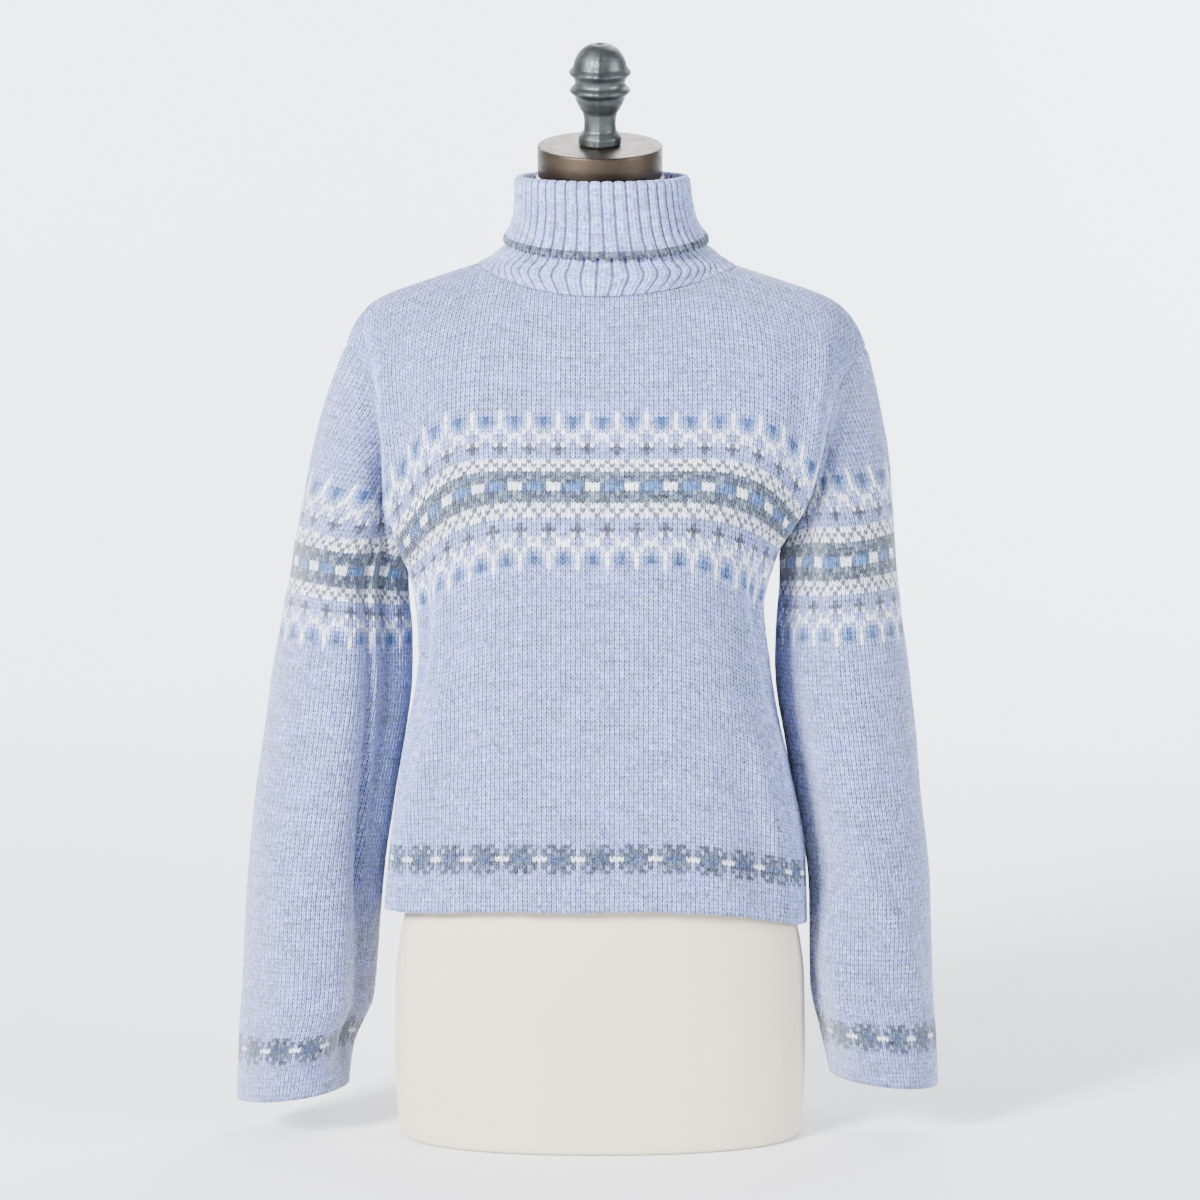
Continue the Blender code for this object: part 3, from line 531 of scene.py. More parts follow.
def stripBetween(points, outer, inner):
    # triangles from each edge of the outer loop to its nearest point of the inner one, and back
    inner = inner[::-1]
    gaps = ((points[outer][:, None] - points[inner][None]) ** 2).sum(-1)
    near = gaps.argmin(axis=1)
    start = int(np.argmin(gaps[np.arange(len(outer)), near]))
    outer, near = np.roll(outer, -start), np.roll(near, -start)
    turn = (near - near[0]) % len(inner)
    turn = np.where(turn > len(inner) * 0.75, 0, turn) if turn[1] > len(inner) * 0.75 else turn
    turn = np.maximum.accumulate(np.where(turn < np.maximum.accumulate(turn) - len(inner) // 2,
                                          np.maximum.accumulate(turn), turn))
    inner = np.roll(inner, -near[0])
    turn = np.append(turn, len(inner))
    a, b = outer, np.roll(outer, -1)
    first = np.stack([b, a, inner[turn[:-1] % len(inner)]], -1)
    steps = np.diff(turn)
    which = np.repeat(np.arange(len(outer)), steps)
    at = np.arange(len(inner))
    second = np.stack([b[which], inner[at], inner[(at + 1) % len(inner)]], -1)
    return np.concatenate([first, second])


def addMesh(name, points, triangles, uv, colours):
    used, flat = np.unique(triangles, return_inverse=True)
    points, triangles = points[used], flat.reshape(-1, 3)
    mesh = bpy.data.meshes.new(name)
    mesh.vertices.add(len(points))
    mesh.vertices.foreach_set("co", (points * mm).astype(np.float32).ravel())
    mesh.loops.add(triangles.size)
    mesh.loops.foreach_set("vertex_index", triangles.ravel().astype(np.int32))
    mesh.polygons.add(len(triangles))
    mesh.polygons.foreach_set("loop_start", np.arange(0, triangles.size, 3, dtype=np.int32))
    mesh.update(calc_edges=True)
    mesh.shade_smooth()
    if uv is not None:
        mesh.uv_layers.new(name="knit").data.foreach_set("uv", uv.astype(np.float32).ravel())
    if colours is not None:
        layer = mesh.color_attributes.new("yarn", "BYTE_COLOR", "CORNER")
        layer.data.foreach_set("color", np.concatenate([colours.reshape(-1, 3), np.ones((triangles.size, 1))],
                                                       1).astype(np.float32).ravel())
    made = bpy.data.objects.new(name, mesh)
    bpy.context.collection.objects.link(made)
    return made


def weld(points, triangles, *corners):
    # points that fall on each other become one, and triangles that this closes are dropped
    key = np.round(points * 200).astype(np.int64)
    _, first, same = np.unique(key, axis=0, return_index=True, return_inverse=True)
    triangles = first[same.ravel()][triangles]
    keep = ((triangles[:, 0] != triangles[:, 1]) & (triangles[:, 1] != triangles[:, 2])
            & (triangles[:, 2] != triangles[:, 0]))
    return [triangles[keep]] + [c[keep] for c in corners]


def knitPiece(name, place, rows, wales, closed, letters, wall, flip):
    # a closed shell of stitches: outside, four columns to a wale, each row of points zigzagging as the
    # stitches do; inside, one cell to a stitch; and the strip that joins them along every open edge
    first, last = wales
    fine = np.arange(first * 4, last * 4 + (0 if closed else 1))
    phase = fine % 4
    zig = np.choose(phase, (stitch["drop"], 0.0, -stitch["drop"], 0.0))
    lift = np.choose(phase, (stitch["valley"], stitch["leg"], stitch["middle"], stitch["leg"]))
    r = np.arange(rows + 1)
    rowAt = np.clip(r[:, None] + np.where((r == 0)[:, None] | (r == rows)[:, None], 0.0, zig[None, :]), 0,
                    rows)
    waleAt = np.broadcast_to(fine[None, :] / 4.0, rowAt.shape)
    uneven = rng.normal(0, stitch["wander"], rowAt.shape)
    outer, cutOuter = place(rowAt, waleAt, lift[None, :] + uneven)
    coarse = np.arange(first, last + (0 if closed else 1))
    rowIn, waleIn = np.broadcast_arrays(r[:, None].astype(float), coarse[None, :].astype(float))
    inner, cutInner = place(rowIn, waleIn, np.full(rowIn.shape, -wall))
    colours = stitchColours(letters)

    parts = []
    for grid, cut, columnsPerWale in ((outer, cutOuter, 4), (inner, cutInner, 1)):
        quads, uv, i, j = gridTriangles(rows + 1, grid.shape[1], closed)
        keep = ~cut.ravel()[quads].all(axis=1)
        quads, uv, i, j = quads[keep], uv[keep].astype(float), i[keep], j[keep]
        uv[..., 0] = uv[..., 0] / columnsPerWale + first
        paint = np.broadcast_to(colours[i, j // columnsPerWale][:, None, :], (len(i), 4, 3))
        triangles, uv, paint = splitQuads(quads, uv, paint)
        parts.append(list(weld(grid.reshape(-1, 3), triangles, uv, paint)))
    if flip:
        for part in parts:
            part[0], part[1], part[2] = part[0][:, ::-1], part[1][:, ::-1], part[2][:, ::-1]
    parts[1][0], parts[1][1], parts[1][2] = parts[1][0][:, ::-1], parts[1][1][:, ::-1], parts[1][2][:, ::-1]
    shift = outer.size // 3
    points = np.concatenate([outer.reshape(-1, 3), inner.reshape(-1, 3)])
    triangles = np.concatenate([parts[0][0], parts[1][0] + shift])
    uv = np.concatenate([parts[0][1], parts[1][1]])
    paint = np.concatenate([parts[0][2], parts[1][2]])
    ofVertex = np.full((len(points), 3), 0.5)
    ofVertex[triangles.ravel()] = paint.reshape(-1, 3)
    outerLoops, innerLoops = rimLoops(parts[0][0]), [loop + shift for loop in rimLoops(parts[1][0])]
    for loop in outerLoops:
        middle = points[loop].mean(axis=0)
        partner = min(innerLoops, key=lambda other: np.linalg.norm(points[other].mean(axis=0) - middle))
        strip = stripBetween(points, loop, partner)
        triangles = np.concatenate([triangles, strip])
        uv = np.concatenate([uv, np.full((len(strip), 3, 2), 0.5)])
        paint = np.concatenate([paint, ofVertex[strip]])
    made = addMesh(name, points, triangles, uv, paint)
    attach(made, "root")
    print(name, len(triangles), "triangles,", len(outerLoops), "open edges joined")
    return made


lattices = {face: panelLattice(face) for face in ("front", "back")}
knitted = {}
for face in ("front", "back"):
    half = body["halfWales"]
    letters = bandStitches(body["rows"], np.arange(-half, half),
                           ((hemChart, body["hemBand"], 7, (5, 5)),
                            (chestChart, body["chestBand"], 38, chestPhase)))
    knitted[face] = knitPiece(face + "Knit", panelPlace(face, lattices[face]), body["rows"], (-half, half),
                              False, letters,
                              body["wall"], face == "back")
    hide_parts(face)
for side in ("left", "right"):
    lattice = sleeveLattice(side, lattices["front"], lattices["back"])
    lattices[side] = lattice
    letters = bandStitches(sleeve["rows"][side], np.arange(sleeve["wales"]),
                           ((hemChart, sleeve["cuffBand"][side], 7, (0, 0)),
                            (chestChart, sleeve["armBand"][side], 38, (0, 2))))
    knitted[side] = knitPiece(side + "SleeveKnit", sleevePlace(side, lattice), sleeve["rows"][side],
                              (0, sleeve["wales"]), True, letters,
                              sleeve["wall"], side == "right")
    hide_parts("sleeve_" + side)




# ---- the ribbed collar ----

collar = {
    "wall": 3.0, "ribs": 54, "columns": 8, "rowPitch": 1.8, "stitchRow": 3.4,
    "groove": 2.0, "tipWave": 1.2,
}
collarRings = (      # x, y, z, halfWidth, halfDepth, lean
    (5.0, -2.0, 725.0, 91.0, 78.0, 11.5),
    (5.0, -3.0, 734.0, 79.5, 70.0, 11.5),
    (4.0, -5.0, 748.0, 71.0, 65.0, 9.0),
    (3.0, -8.0, 767.0, 66.5, 62.0, 6.0),
    (2.0, -10.0, 782.0, 65.0, 61.0, 4.5),
    (2.0, -10.0, 786.5, 65.8, 61.8, 4.5),
    (2.0, -10.0, 786.5, 67.5, 63.5, 4.5),
    (2.0, -10.0, 782.0, 68.3, 64.3, 4.5),
    (3.0, -8.0, 767.0, 69.5, 65.0, 6.0),
    (4.0, -5.0, 749.0, 74.0, 68.0, 9.0),
    (5.0, -2.0, 737.0, 82.0, 73.0, 11.5),
)


def necklineLoop(count):
    # the seam the collar is sewn to, round by angle from its middle
    pieces = []
    for face in ("front", "back"):
        neck = neckShare(lattices[face])
        share = np.linspace(-1, 1, 401)
        across = np.where(share < 0, share * neck[0], share * neck[1])
        top = (body["length"] - body["neckDrop"][face]
               * np.clip(1 - np.abs(share) ** body["neckRound"], 0, 1) ** (1 / body["neckRound"]))
        line = sample(lattices[face]["points"], top / body["length"], (across + 1) / 2)
        pieces.append(line if face == "front" else line[::-1])
    loop = np.concatenate([pieces[0], pieces[1][1:-1]])
    centre = loop.mean(axis=0)
    angle = np.unwrap(np.arctan2(loop[:, 1] - centre[1], loop[:, 0] - centre[0]))
    run = np.concatenate([[0], np.cumsum(np.linalg.norm(np.diff(np.concatenate([loop, loop[:1]]), axis=0),
                                                        axis=1))])
    closed = np.concatenate([loop, loop[:1]])
    wanted = np.linspace(0, run[-1], count, endpoint=False)
    even = np.stack([np.interp(wanted, run, closed[:, k]) for k in range(3)], -1)
    return even, np.unwrap(np.arctan2(even[:, 1] - centre[1], even[:, 0] - centre[0]))


def collarPiece():
    # rings of the profile from seam to edge, joined by a smooth curve; each rib is a rounded cord, and the
    # line between two ribs a narrow groove that fades towards the seam; a groove of one side is
    # a rib of the other
    count = collar["ribs"] * collar["columns"]
    loop, angle = necklineLoop(count)
    rings = [loop]
    for x, y, z, halfWidth, halfDepth, lean in collarRings:
        tip = math.radians(lean)
        deep = halfDepth * np.sin(angle)
        rings.append(np.stack([x + halfWidth * np.cos(angle), y + deep * math.cos(tip),
                               z + deep * math.sin(tip)], -1))
    rings = np.array(rings)
    run = np.concatenate([[0], np.cumsum(np.linalg.norm(np.diff(rings, axis=0), axis=2).mean(axis=1))])
    along = np.linspace(0, run[-1], int(run[-1] / collar["rowPitch"]) + 1)
    cell = np.clip(np.searchsorted(run, along, side="right") - 1, 0, len(run) - 2)
    tangent = np.gradient(rings, run, axis=0)
    width = np.diff(run)[cell][:, None, None]
    t = ((along - run[cell]) / np.diff(run)[cell])[:, None, None]
    a, b, ra, rb = rings[cell], rings[cell + 1], tangent[cell] * width, tangent[cell + 1] * width
    grid = a + t * ra + t**2 * (3 * (b - a) - 2 * ra - rb) + t**3 * (2 * (a - b) + ra + rb)
    normals = latticeNormals(np.concatenate([grid, grid[:, :1]], axis=1), True)[:, :-1]
    out = grid[:4] - grid[:4].mean(axis=1, keepdims=True)
    normals = normals * np.sign((normals[:4] * out).sum())      # towards the inside of the fold
    rib = np.arange(count) / collar["columns"]
    cord = 1 - np.abs(2 * (rib % 1.0) - 1) ** 3.2               # 1 over most of a rib, 0 in the groove
    far = run[-1] - along
    fade = np.clip((along - 3) / 12, 0, 1)[:, None]
    wander = rng.normal(0, 0.10, (len(along), count))
    deepness = collar["groove"] * (0.25 + 0.75 * fade) * (0.88 + 0.12 * np.sin(rib * 2.1)[None, :])
    relief = (cord[None, :] - 1) * deepness + wander
    shifted = (np.roll(cord, collar["columns"] // 2)[None, :] - 1) * deepness
    edge = np.exp(-((far / 2.2) ** 2))[:, None] * collar["tipWave"] * np.cos(2 * math.pi * rib)[None, :]
    down = unit(np.gradient(grid, axis=0))
    roundEnds = (np.exp(-((far / 0.9) ** 2)) * 0.8)[:, None, None]
    inFold = (grid + normals * (shifted + wander * 0.5)[..., None] + down * edge[..., None]
              - normals * roundEnds)
    outside = (grid - normals * (collar["wall"] + relief)[..., None] + down * edge[..., None]
               + normals * roundEnds)
    rows = len(along)
    quads, uv, i, j = gridTriangles(rows, count, True)
    uv = np.stack([uv[..., 0] / collar["columns"], along[uv[..., 1]] / collar["stitchRow"]], -1)
    stitchRow = (along[:-1] / collar["stitchRow"]).astype(int)
    letters = np.full((stitchRow.max() + 1, collar["ribs"] * 2), ".")
    letters[-2:] = "t"
    letters[-2:] = np.where(rng.random(letters[-2:].shape) > 0.7, "n", letters[-2:])
    colours = stitchColours(letters)
    paint = np.broadcast_to(colours[stitchRow[i], j * 2 // collar["columns"]][:, None, :], (len(i), 4, 3))
    # the side inside the fold has its lines half a rib further on
    inUv = uv + np.array([0.5, 0.0])
    insideTri, insideUv, insidePaint = splitQuads(quads, inUv, paint)
    outTri, outUv, outPaint = splitQuads(quads[:, ::-1], uv[:, ::-1], paint)
    shift = rows * count
    ends = []
    k = np.arange(count)
    k2 = (k + 1) % count
    last = (rows - 1) * count
    ends.append(np.stack([k2, k, shift + k, shift + k2], -1))
    ends.append(np.stack([last + k, last + k2, shift + last + k2, shift + last + k], -1))
    endQuads = np.concatenate(ends)
    endUv = np.full((len(endQuads), 4, 2), 0.5)
    endPaint = np.concatenate([np.broadcast_to(colours[0, 0], (count, 4, 3)),
                               np.broadcast_to(colours[-1, 0], (count, 4, 3))])
    endTri, endUv, endPaint = splitQuads(endQuads, endUv, endPaint)
    points = np.concatenate([inFold.reshape(-1, 3), outside.reshape(-1, 3)])
    triangles = np.concatenate([insideTri, outTri + shift, endTri])
    facing = np.cross(points[triangles[0, 1]] - points[triangles[0, 0]],
                      points[triangles[0, 2]] - points[triangles[0, 0]])
    uvs, paints = np.concatenate([insideUv, outUv, endUv]), np.concatenate([insidePaint, outPaint, endPaint])
    if (facing * normals[0, 0]).sum() < 0:
        triangles, uvs, paints = triangles[:, ::-1], uvs[:, ::-1], paints[:, ::-1]
    made = addMesh("collarKnit", points, triangles, uvs, paints)
    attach(made, "root")
    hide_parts("collar")
    print("collarKnit", len(triangles), "triangles, profile", round(run[-1], 1), "mm")
    return made, run[-1]


knitted["collar"], collarLength = collarPiece()


# ---- the dress form, its neck cap and finial ----

form = {
    "columns": ("z", "y", "halfWidth", "front", "back", "square", "lean"),
    "rows": (
        (0.0, 0.0, 167.0, 92.0, 98.0, 2.3, 0.0),
        (60.0, 0.0, 170.0, 95.0, 102.0, 2.3, 0.0),
        (130.0, 0.0, 169.0, 96.0, 104.0, 2.3, 0.0),
        (185.0, 0.0, 161.0, 94.0, 100.0, 2.25, 0.0),
        (250.0, 0.0, 140.0, 88.0, 84.0, 2.2, 0.0),
        (330.0, 0.0, 116.0, 79.0, 64.0, 2.2, 0.0),
        (400.0, 0.0, 119.0, 88.0, 68.0, 2.2, 0.0),
        (460.0, 0.0, 129.0, 108.0, 78.0, 2.2, 0.0),
        (520.0, 0.0, 142.0, 117.0, 87.0, 2.2, 0.0),
        (580.0, 0.0, 160.0, 108.0, 89.0, 2.1, 0.0),
        (633.0, 0.0, 172.0, 92.0, 82.0, 1.75, 0.0),
        (663.5, 0.0, 179.0, 79.0, 75.0, 1.5, 0.0),
        (686.0, 0.0, 172.0, 67.0, 66.0, 1.3, 0.0),
        (702.0, 0.0, 136.0, 59.0, 60.0, 1.25, 0.0),
        (712.5, -1.0, 99.0, 54.0, 54.0, 1.35, 1.0),
        (724.0, -2.0, 66.0, 51.0, 50.0, 1.75, 4.0),
        (745.0, -4.0, 54.0, 49.0, 49.0, 2.0, 8.0),
    ),
    "neckLean": 13.5, "neckTop": (0.0, -9.6, 789.0), "neckRadius": 51.2,
    "seamAngles": (-64.0, -116.0, 0.0, 180.0, 64.0, 116.0, 90.0), "seamDip": 0.7, "seamWidth": 1.4,
    "around": 288,
}


def superRing(x, y, z, halfWidth, front, back, square, lean, angle):
    # a superellipse with its own depth to the front and to the back, tipped to the front by lean degrees
    c, s = np.cos(angle), np.sin(angle)
    deep = np.sign(s) * np.abs(s) ** (2 / square) * np.where(s < 0, front, back)
    tip = math.radians(lean)
    return np.stack([x + np.sign(c) * np.abs(c) ** (2 / square) * halfWidth, y + deep * math.cos(tip),
                     z + deep * math.sin(tip)], -1)


def closedTube(rings):
    # quads between rings, and a fan over each flat end
    rows, count = rings.shape[:2]
    quads, _, _, _ = gridTriangles(rows, count, True)
    triangles = splitQuads(quads)[0]
    points = np.concatenate([rings.reshape(-1, 3), rings[0].mean(axis=0)[None], rings[-1].mean(axis=0)[None]])
    k = np.arange(count)
    k2 = (k + 1) % count
    foot = np.stack([k2, k, np.full(count, rows * count)], -1)
    head = np.stack([(rows - 1) * count + k, (rows - 1) * count + k2, np.full(count, rows * count + 1)], -1)
    return points, np.concatenate([triangles, foot, head])


def formCover():
    angle = np.linspace(0, 2 * math.pi, form["around"], endpoint=False)
    heights = np.concatenate([[0.0, 0.8, 2.5, 5.0], np.arange(10, 745, 9.0), [745.0]])
    rings = []
    for z in heights:
        v = {n: float(column(form, n, np.array([z]))[0]) for n in form["columns"][1:]}
        tuck = 5.0 - math.sqrt(max(0.0, 25.0 - max(0.0, 5.0 - z) ** 2))     # rounded lower edge
        rings.append(superRing(0.0, v["y"], z, v["halfWidth"] - tuck, v["front"] - tuck, v["back"] - tuck,
                               v["square"], v["lean"], angle))
    top = superRing(*form["neckTop"], form["neckRadius"], form["neckRadius"], form["neckRadius"], 2.0,
                    form["neckLean"], angle)
    low = rings[-1]
    for share in np.linspace(0.1, 1.0, 10):
        rings.append(low * (1 - share) + top * share)
    rings = np.array(rings)
    normals = latticeNormals(np.concatenate([rings, rings[:, :1]], axis=1), True)[:, :-1]
    normals = normals * np.sign((normals * (rings - rings.mean(axis=1, keepdims=True))).sum())
    groove = np.zeros(rings.shape[:2])
    for seam in form["seamAngles"]:
        away = (np.degrees(angle) - seam + 180) % 360 - 180
        spread = np.linalg.norm(np.diff(np.concatenate([rings, rings[:, :1]], axis=1), axis=1), axis=2)
        groove = (groove + form["seamDip"]
                  * np.exp(-((np.radians(away)[None, :] * spread / (2 * math.pi / form["around"])
                              / form["seamWidth"]) ** 2)))
    fade = (np.clip((len(rings) - 1 - np.arange(len(rings))) / 3, 0, 1)[:, None]
            * np.clip(np.arange(len(rings)) / 4, 0, 1)[:, None])
    rings = rings - normals * (groove * fade)[..., None]
    points, triangles = closedTube(rings)
    made = addMesh("formCover", points, triangles, None, None)
    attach(made, "root")
    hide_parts("form_torso")
    return made


neckCap = {"radius": 50.5, "height": 25.0, "bevel": 1.6, "gap": 0.3, "around": 128}
finial = {
    "around": 96, "rings": 150,
    "profile": (      # radius, height above the cap
        (16.0, 0.0), (17.2, 1.5), (17.2, 6.0), (15.6, 9.0), (13.2, 12.5), (12.8, 18.0), (13.6, 25.0),
        (16.6, 30.5), (19.4, 36.5), (20.4, 40.0), (23.0, 42.2), (24.4, 44.4), (23.2, 46.6), (20.9, 48.6),
        (20.2, 51.0),
        (21.2, 54.2), (23.6, 56.8), (24.9, 59.0), (23.6, 61.2), (21.9, 63.4), (20.8, 67.5), (18.0, 73.5),
        (12.0, 79.5),
        (5.0, 82.0), (3.2, 81.6), (3.0, 76.0),
    ),
}


def turned(name, profile, foot, around, node, mouldLine=0.0):
    # a profile of radius and height carried round the neck's leaning axis
    tip = math.radians(form["neckLean"])
    axis = np.array([0.0, -math.sin(tip), math.cos(tip)])
    angle = np.linspace(0, 2 * math.pi, around, endpoint=False)
    side, deep = np.array([1.0, 0.0, 0.0]), np.array([0.0, math.cos(tip), math.sin(tip)])
    profile = np.asarray(profile, float)
    ring = np.cos(angle)[None, :, None] * side + np.sin(angle)[None, :, None] * deep
    # two mould lines stand out from a casting, front and back
    away = np.abs((np.degrees(angle) + 2.0) % 180 - 90)
    mould = (mouldLine * np.exp(-((away / 4.0) ** 2))[None, :, None]
             * np.clip(profile[:, 0] / 10, 0, 1)[:, None, None])
    rings = (np.array(form["neckTop"]) + axis * (foot + profile[:, 1])[:, None, None]
             + (profile[:, 0][:, None, None] + mould) * ring)
    points, triangles = closedTube(rings)
    made = addMesh(name, points, triangles, None, None)
    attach(made, "root")
    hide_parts(node)
    made.data.set_sharp_from_angle(angle=math.radians(50))
    return made


def capProfile():
    turn = np.linspace(0, math.pi / 2, 7)
    r, h, b = neckCap["radius"], neckCap["height"], neckCap["bevel"]
    return ([(r - 0.5, 0.0), (r, 0.5), (r, 8.0), (r, 16.0)]
            + [(r - b + b * math.cos(a), h - b + b * math.sin(a)) for a in turn]
            + [(r * 0.7, h), (r * 0.35, h)])


def finialProfile():
    rough = np.array(finial["profile"])
    run = np.concatenate([[0], np.cumsum(np.linalg.norm(np.diff(rough, axis=0), axis=1))])
    at = np.linspace(0, run[-1], finial["rings"])
    return np.stack([tableCurve(run, rough[:, 0], at), tableCurve(run, rough[:, 1], at)], -1)


cover = formCover()
cap = turned("neckCapMetal", capProfile(), neckCap["gap"], neckCap["around"], "neck_cap")
knob = turned("finialCasting", finialProfile(), neckCap["gap"] * 2 + neckCap["height"], finial["around"],
              "finial", 0.7)
print("form, cap and finial made")


# ---- materials ----

def socket(tree, name, kind, default=None, out=False):
    made = tree.interface.new_socket(name=name, in_out="OUTPUT" if out else "INPUT", socket_type=kind)
    if default is not None:
        made.default_value = default
    return made


def node(tree, kind, x, y, **values):
    made = tree.nodes.new(kind)
    made.location = (x, y)
    for name, value in values.items():
        setattr(made, name, value)
    return made


def math2(tree, operation, a, b=None, x=0, y=0, c=None):
    made = node(tree, "ShaderNodeMath", x, y, operation=operation)
    for k, value in enumerate((a, b, c)):
        if value is None:
            continue
        if hasattr(value, "is_linked"):
            tree.links.new(value, made.inputs[k])
        else:
            made.inputs[k].default_value = value
    return made.outputs[0]


def stitchReliefGroup():
    # from the knit UV, the yarn's height in a stitch, and masks for painted shade: in the small hole at each
    # side and in the middle of each one, an oval round every half wale, halfway up the row; and along the
    # line between two ribs
    tree = bpy.data.node_groups.new("stitchRelief", "ShaderNodeTree")
    socket(tree, "Legs", "NodeSocketFloat", 2.0)
    socket(tree, "Hole Width", "NodeSocketFloat", 0.13)
    socket(tree, "Hole Height", "NodeSocketFloat", 0.46)
    socket(tree, "Wander", "NodeSocketFloat", 0.24)
    socket(tree, "Height", "NodeSocketFloat", out=True)
    socket(tree, "Hole", "NodeSocketFloat", out=True)
    socket(tree, "Rib Groove Shade", "NodeSocketFloat", out=True)
    entry, end = node(tree, "NodeGroupInput", -1400, 0), node(tree, "NodeGroupOutput", 900, 0)
    uv = node(tree, "ShaderNodeUVMap", -1400, -200, uv_map="knit")
    split = node(tree, "ShaderNodeSeparateXYZ", -1200, -200)
    tree.links.new(uv.outputs["UV"], split.inputs[0])
    wobble = node(tree, "ShaderNodeTexNoise", -1200, -450)
    wobble.inputs["Scale"].default_value = 0.8
    wobble.inputs["Detail"].default_value = 1.0
    tree.links.new(uv.outputs["UV"], wobble.inputs["Vector"])
    centred = math2(tree, "SUBTRACT", wobble.outputs["Fac"], 0.5, -1000, -450)
    shift = math2(tree, "MULTIPLY", centred, entry.outputs["Wander"], -900, -550)
    u = math2(tree, "ADD", split.outputs["X"], shift, -800, -150)
    v = math2(tree, "ADD", split.outputs["Y"], shift, -800, -350)
    legs = math2(tree, "MULTIPLY", u, entry.outputs["Legs"], -600, -100)
    sideways = math2(tree, "PINGPONG", legs, 0.5, -450, -100)
    sideways = math2(tree, "DIVIDE", sideways, entry.outputs["Hole Width"], -300, -100)
    upward = math2(tree, "ABSOLUTE", math2(tree, "SUBTRACT", math2(tree, "FRACT", v, None, -600, -300), 0.5,
                                           -450, -300), None, -300, -300)
    upward = math2(tree, "DIVIDE", upward, entry.outputs["Hole Height"], -150, -300)
    sideways = math2(tree, "MULTIPLY", sideways, sideways, -100, -100)
    upward = math2(tree, "MULTIPLY", upward, upward, 0, -300)
    inside = math2(tree, "SUBTRACT", 1.0, math2(tree, "ADD", sideways, upward, 100, -200), 250, -200)
    inside = math2(tree, "MINIMUM", math2(tree, "MULTIPLY", inside, 3.0, 300, -300), 1.0, 350, -300)
    # the hole between two stitches is the larger one: 0.7 + 0.3 cos(2 pi u)
    larger = math2(tree, "COSINE", math2(tree, "MULTIPLY", u, 2 * math.pi, -600, -600), None, -450, -600)
    larger = math2(tree, "MULTIPLY_ADD", larger, 0.30, -300, -600, 0.70)
    hole = math2(tree, "MULTIPLY", math2(tree, "MAXIMUM", inside, 0.0, 400, -200), larger, 500, -300)
    tree.links.new(hole, end.inputs["Hole"])
    # painted shade along the groove between two ribs: a narrow band round each whole step of u
    ribSide = math2(tree, "DIVIDE", math2(tree, "PINGPONG", u, 0.5, -450, 350), 0.15, -300, 350)
    ribGrooveShade = math2(tree, "MAXIMUM", math2(tree, "SUBTRACT", 1.0,
                                           math2(tree, "MULTIPLY", ribSide, ribSide, -150, 350), 0, 350), 0.0,
                                           150, 350)
    tree.links.new(ribGrooveShade, end.inputs["Rib Groove Shade"])
    cord = math2(tree, "POWER", math2(tree, "ABSOLUTE",
                                      math2(tree, "SINE", math2(tree, "MULTIPLY", legs, math.pi, 0, 150),
                                            None, 150, 150), None, 300, 150), 0.6, 450, 150)
    tree.links.new(math2(tree, "SUBTRACT", cord, hole, 600, 0), end.inputs["Height"])
    return tree


def woolFibreGroup():
    # loose fibres of a brushed yarn: fine noise drawn out in two directions, for height and for colour
    tree = bpy.data.node_groups.new("woolFibre", "ShaderNodeTree")
    socket(tree, "Scale", "NodeSocketFloat", 900.0)
    socket(tree, "Height", "NodeSocketFloat", out=True)
    socket(tree, "Fleck", "NodeSocketFloat", out=True)
    socket(tree, "Cloud", "NodeSocketFloat", out=True)
    entry, end = node(tree, "NodeGroupInput", -1000, 0), node(tree, "NodeGroupOutput", 600, 0)
    place = node(tree, "ShaderNodeTexCoord", -1000, -200)
    heights = []
    for k, (stretch, turn) in enumerate((((1.0, 1.0, 0.22), (0.0, 0.5, 0.2)),
                                         ((0.25, 1.0, 1.0), (0.3, 0.6, 0.1)))):
        mapping = node(tree, "ShaderNodeMapping", -800, -200 - 250 * k)
        mapping.inputs["Scale"].default_value = stretch
        mapping.inputs["Rotation"].default_value = turn
        tree.links.new(place.outputs["Object"], mapping.inputs["Vector"])
        noise = node(tree, "ShaderNodeTexNoise", -600, -200 - 250 * k)
        noise.inputs["Detail"].default_value = 3.0
        noise.inputs["Roughness"].default_value = 0.6
        tree.links.new(mapping.outputs[0], noise.inputs["Vector"])
        tree.links.new(entry.outputs["Scale"], noise.inputs["Scale"])
        heights.append(noise.outputs["Fac"])
    tree.links.new(math2(tree, "MAXIMUM", heights[0], heights[1], -300, -250), end.inputs["Height"])
    fleck = node(tree, "ShaderNodeTexNoise", -600, -750)
    fleck.inputs["Scale"].default_value = 420.0
    fleck.inputs["Detail"].default_value = 2.0
    tree.links.new(place.outputs["Object"], fleck.inputs["Vector"])
    tree.links.new(fleck.outputs["Fac"], end.inputs["Fleck"])
    cloud = node(tree, "ShaderNodeTexNoise", -600, -1000)
    cloud.inputs["Scale"].default_value = 40.0
    cloud.inputs["Detail"].default_value = 4.0
    streaks = node(tree, "ShaderNodeMapping", -800, -1000)
    streaks.inputs["Scale"].default_value = (0.7, 0.7, 1.8)
    tree.links.new(place.outputs["Object"], streaks.inputs["Vector"])
    tree.links.new(streaks.outputs[0], cloud.inputs["Vector"])
    tree.links.new(cloud.outputs["Fac"], end.inputs["Cloud"])
    return tree


def ramp(tree, source, stops, x=0, y=0):
    made = node(tree, "ShaderNodeValToRGB", x, y)
    while len(made.color_ramp.elements) < len(stops):
        made.color_ramp.elements.new(0.5)
    for element, (at, colour) in zip(made.color_ramp.elements, stops):
        element.position = at
        element.color = (*colour, 1.0)
    tree.links.new(source, made.inputs[0])
    return made.outputs[0]


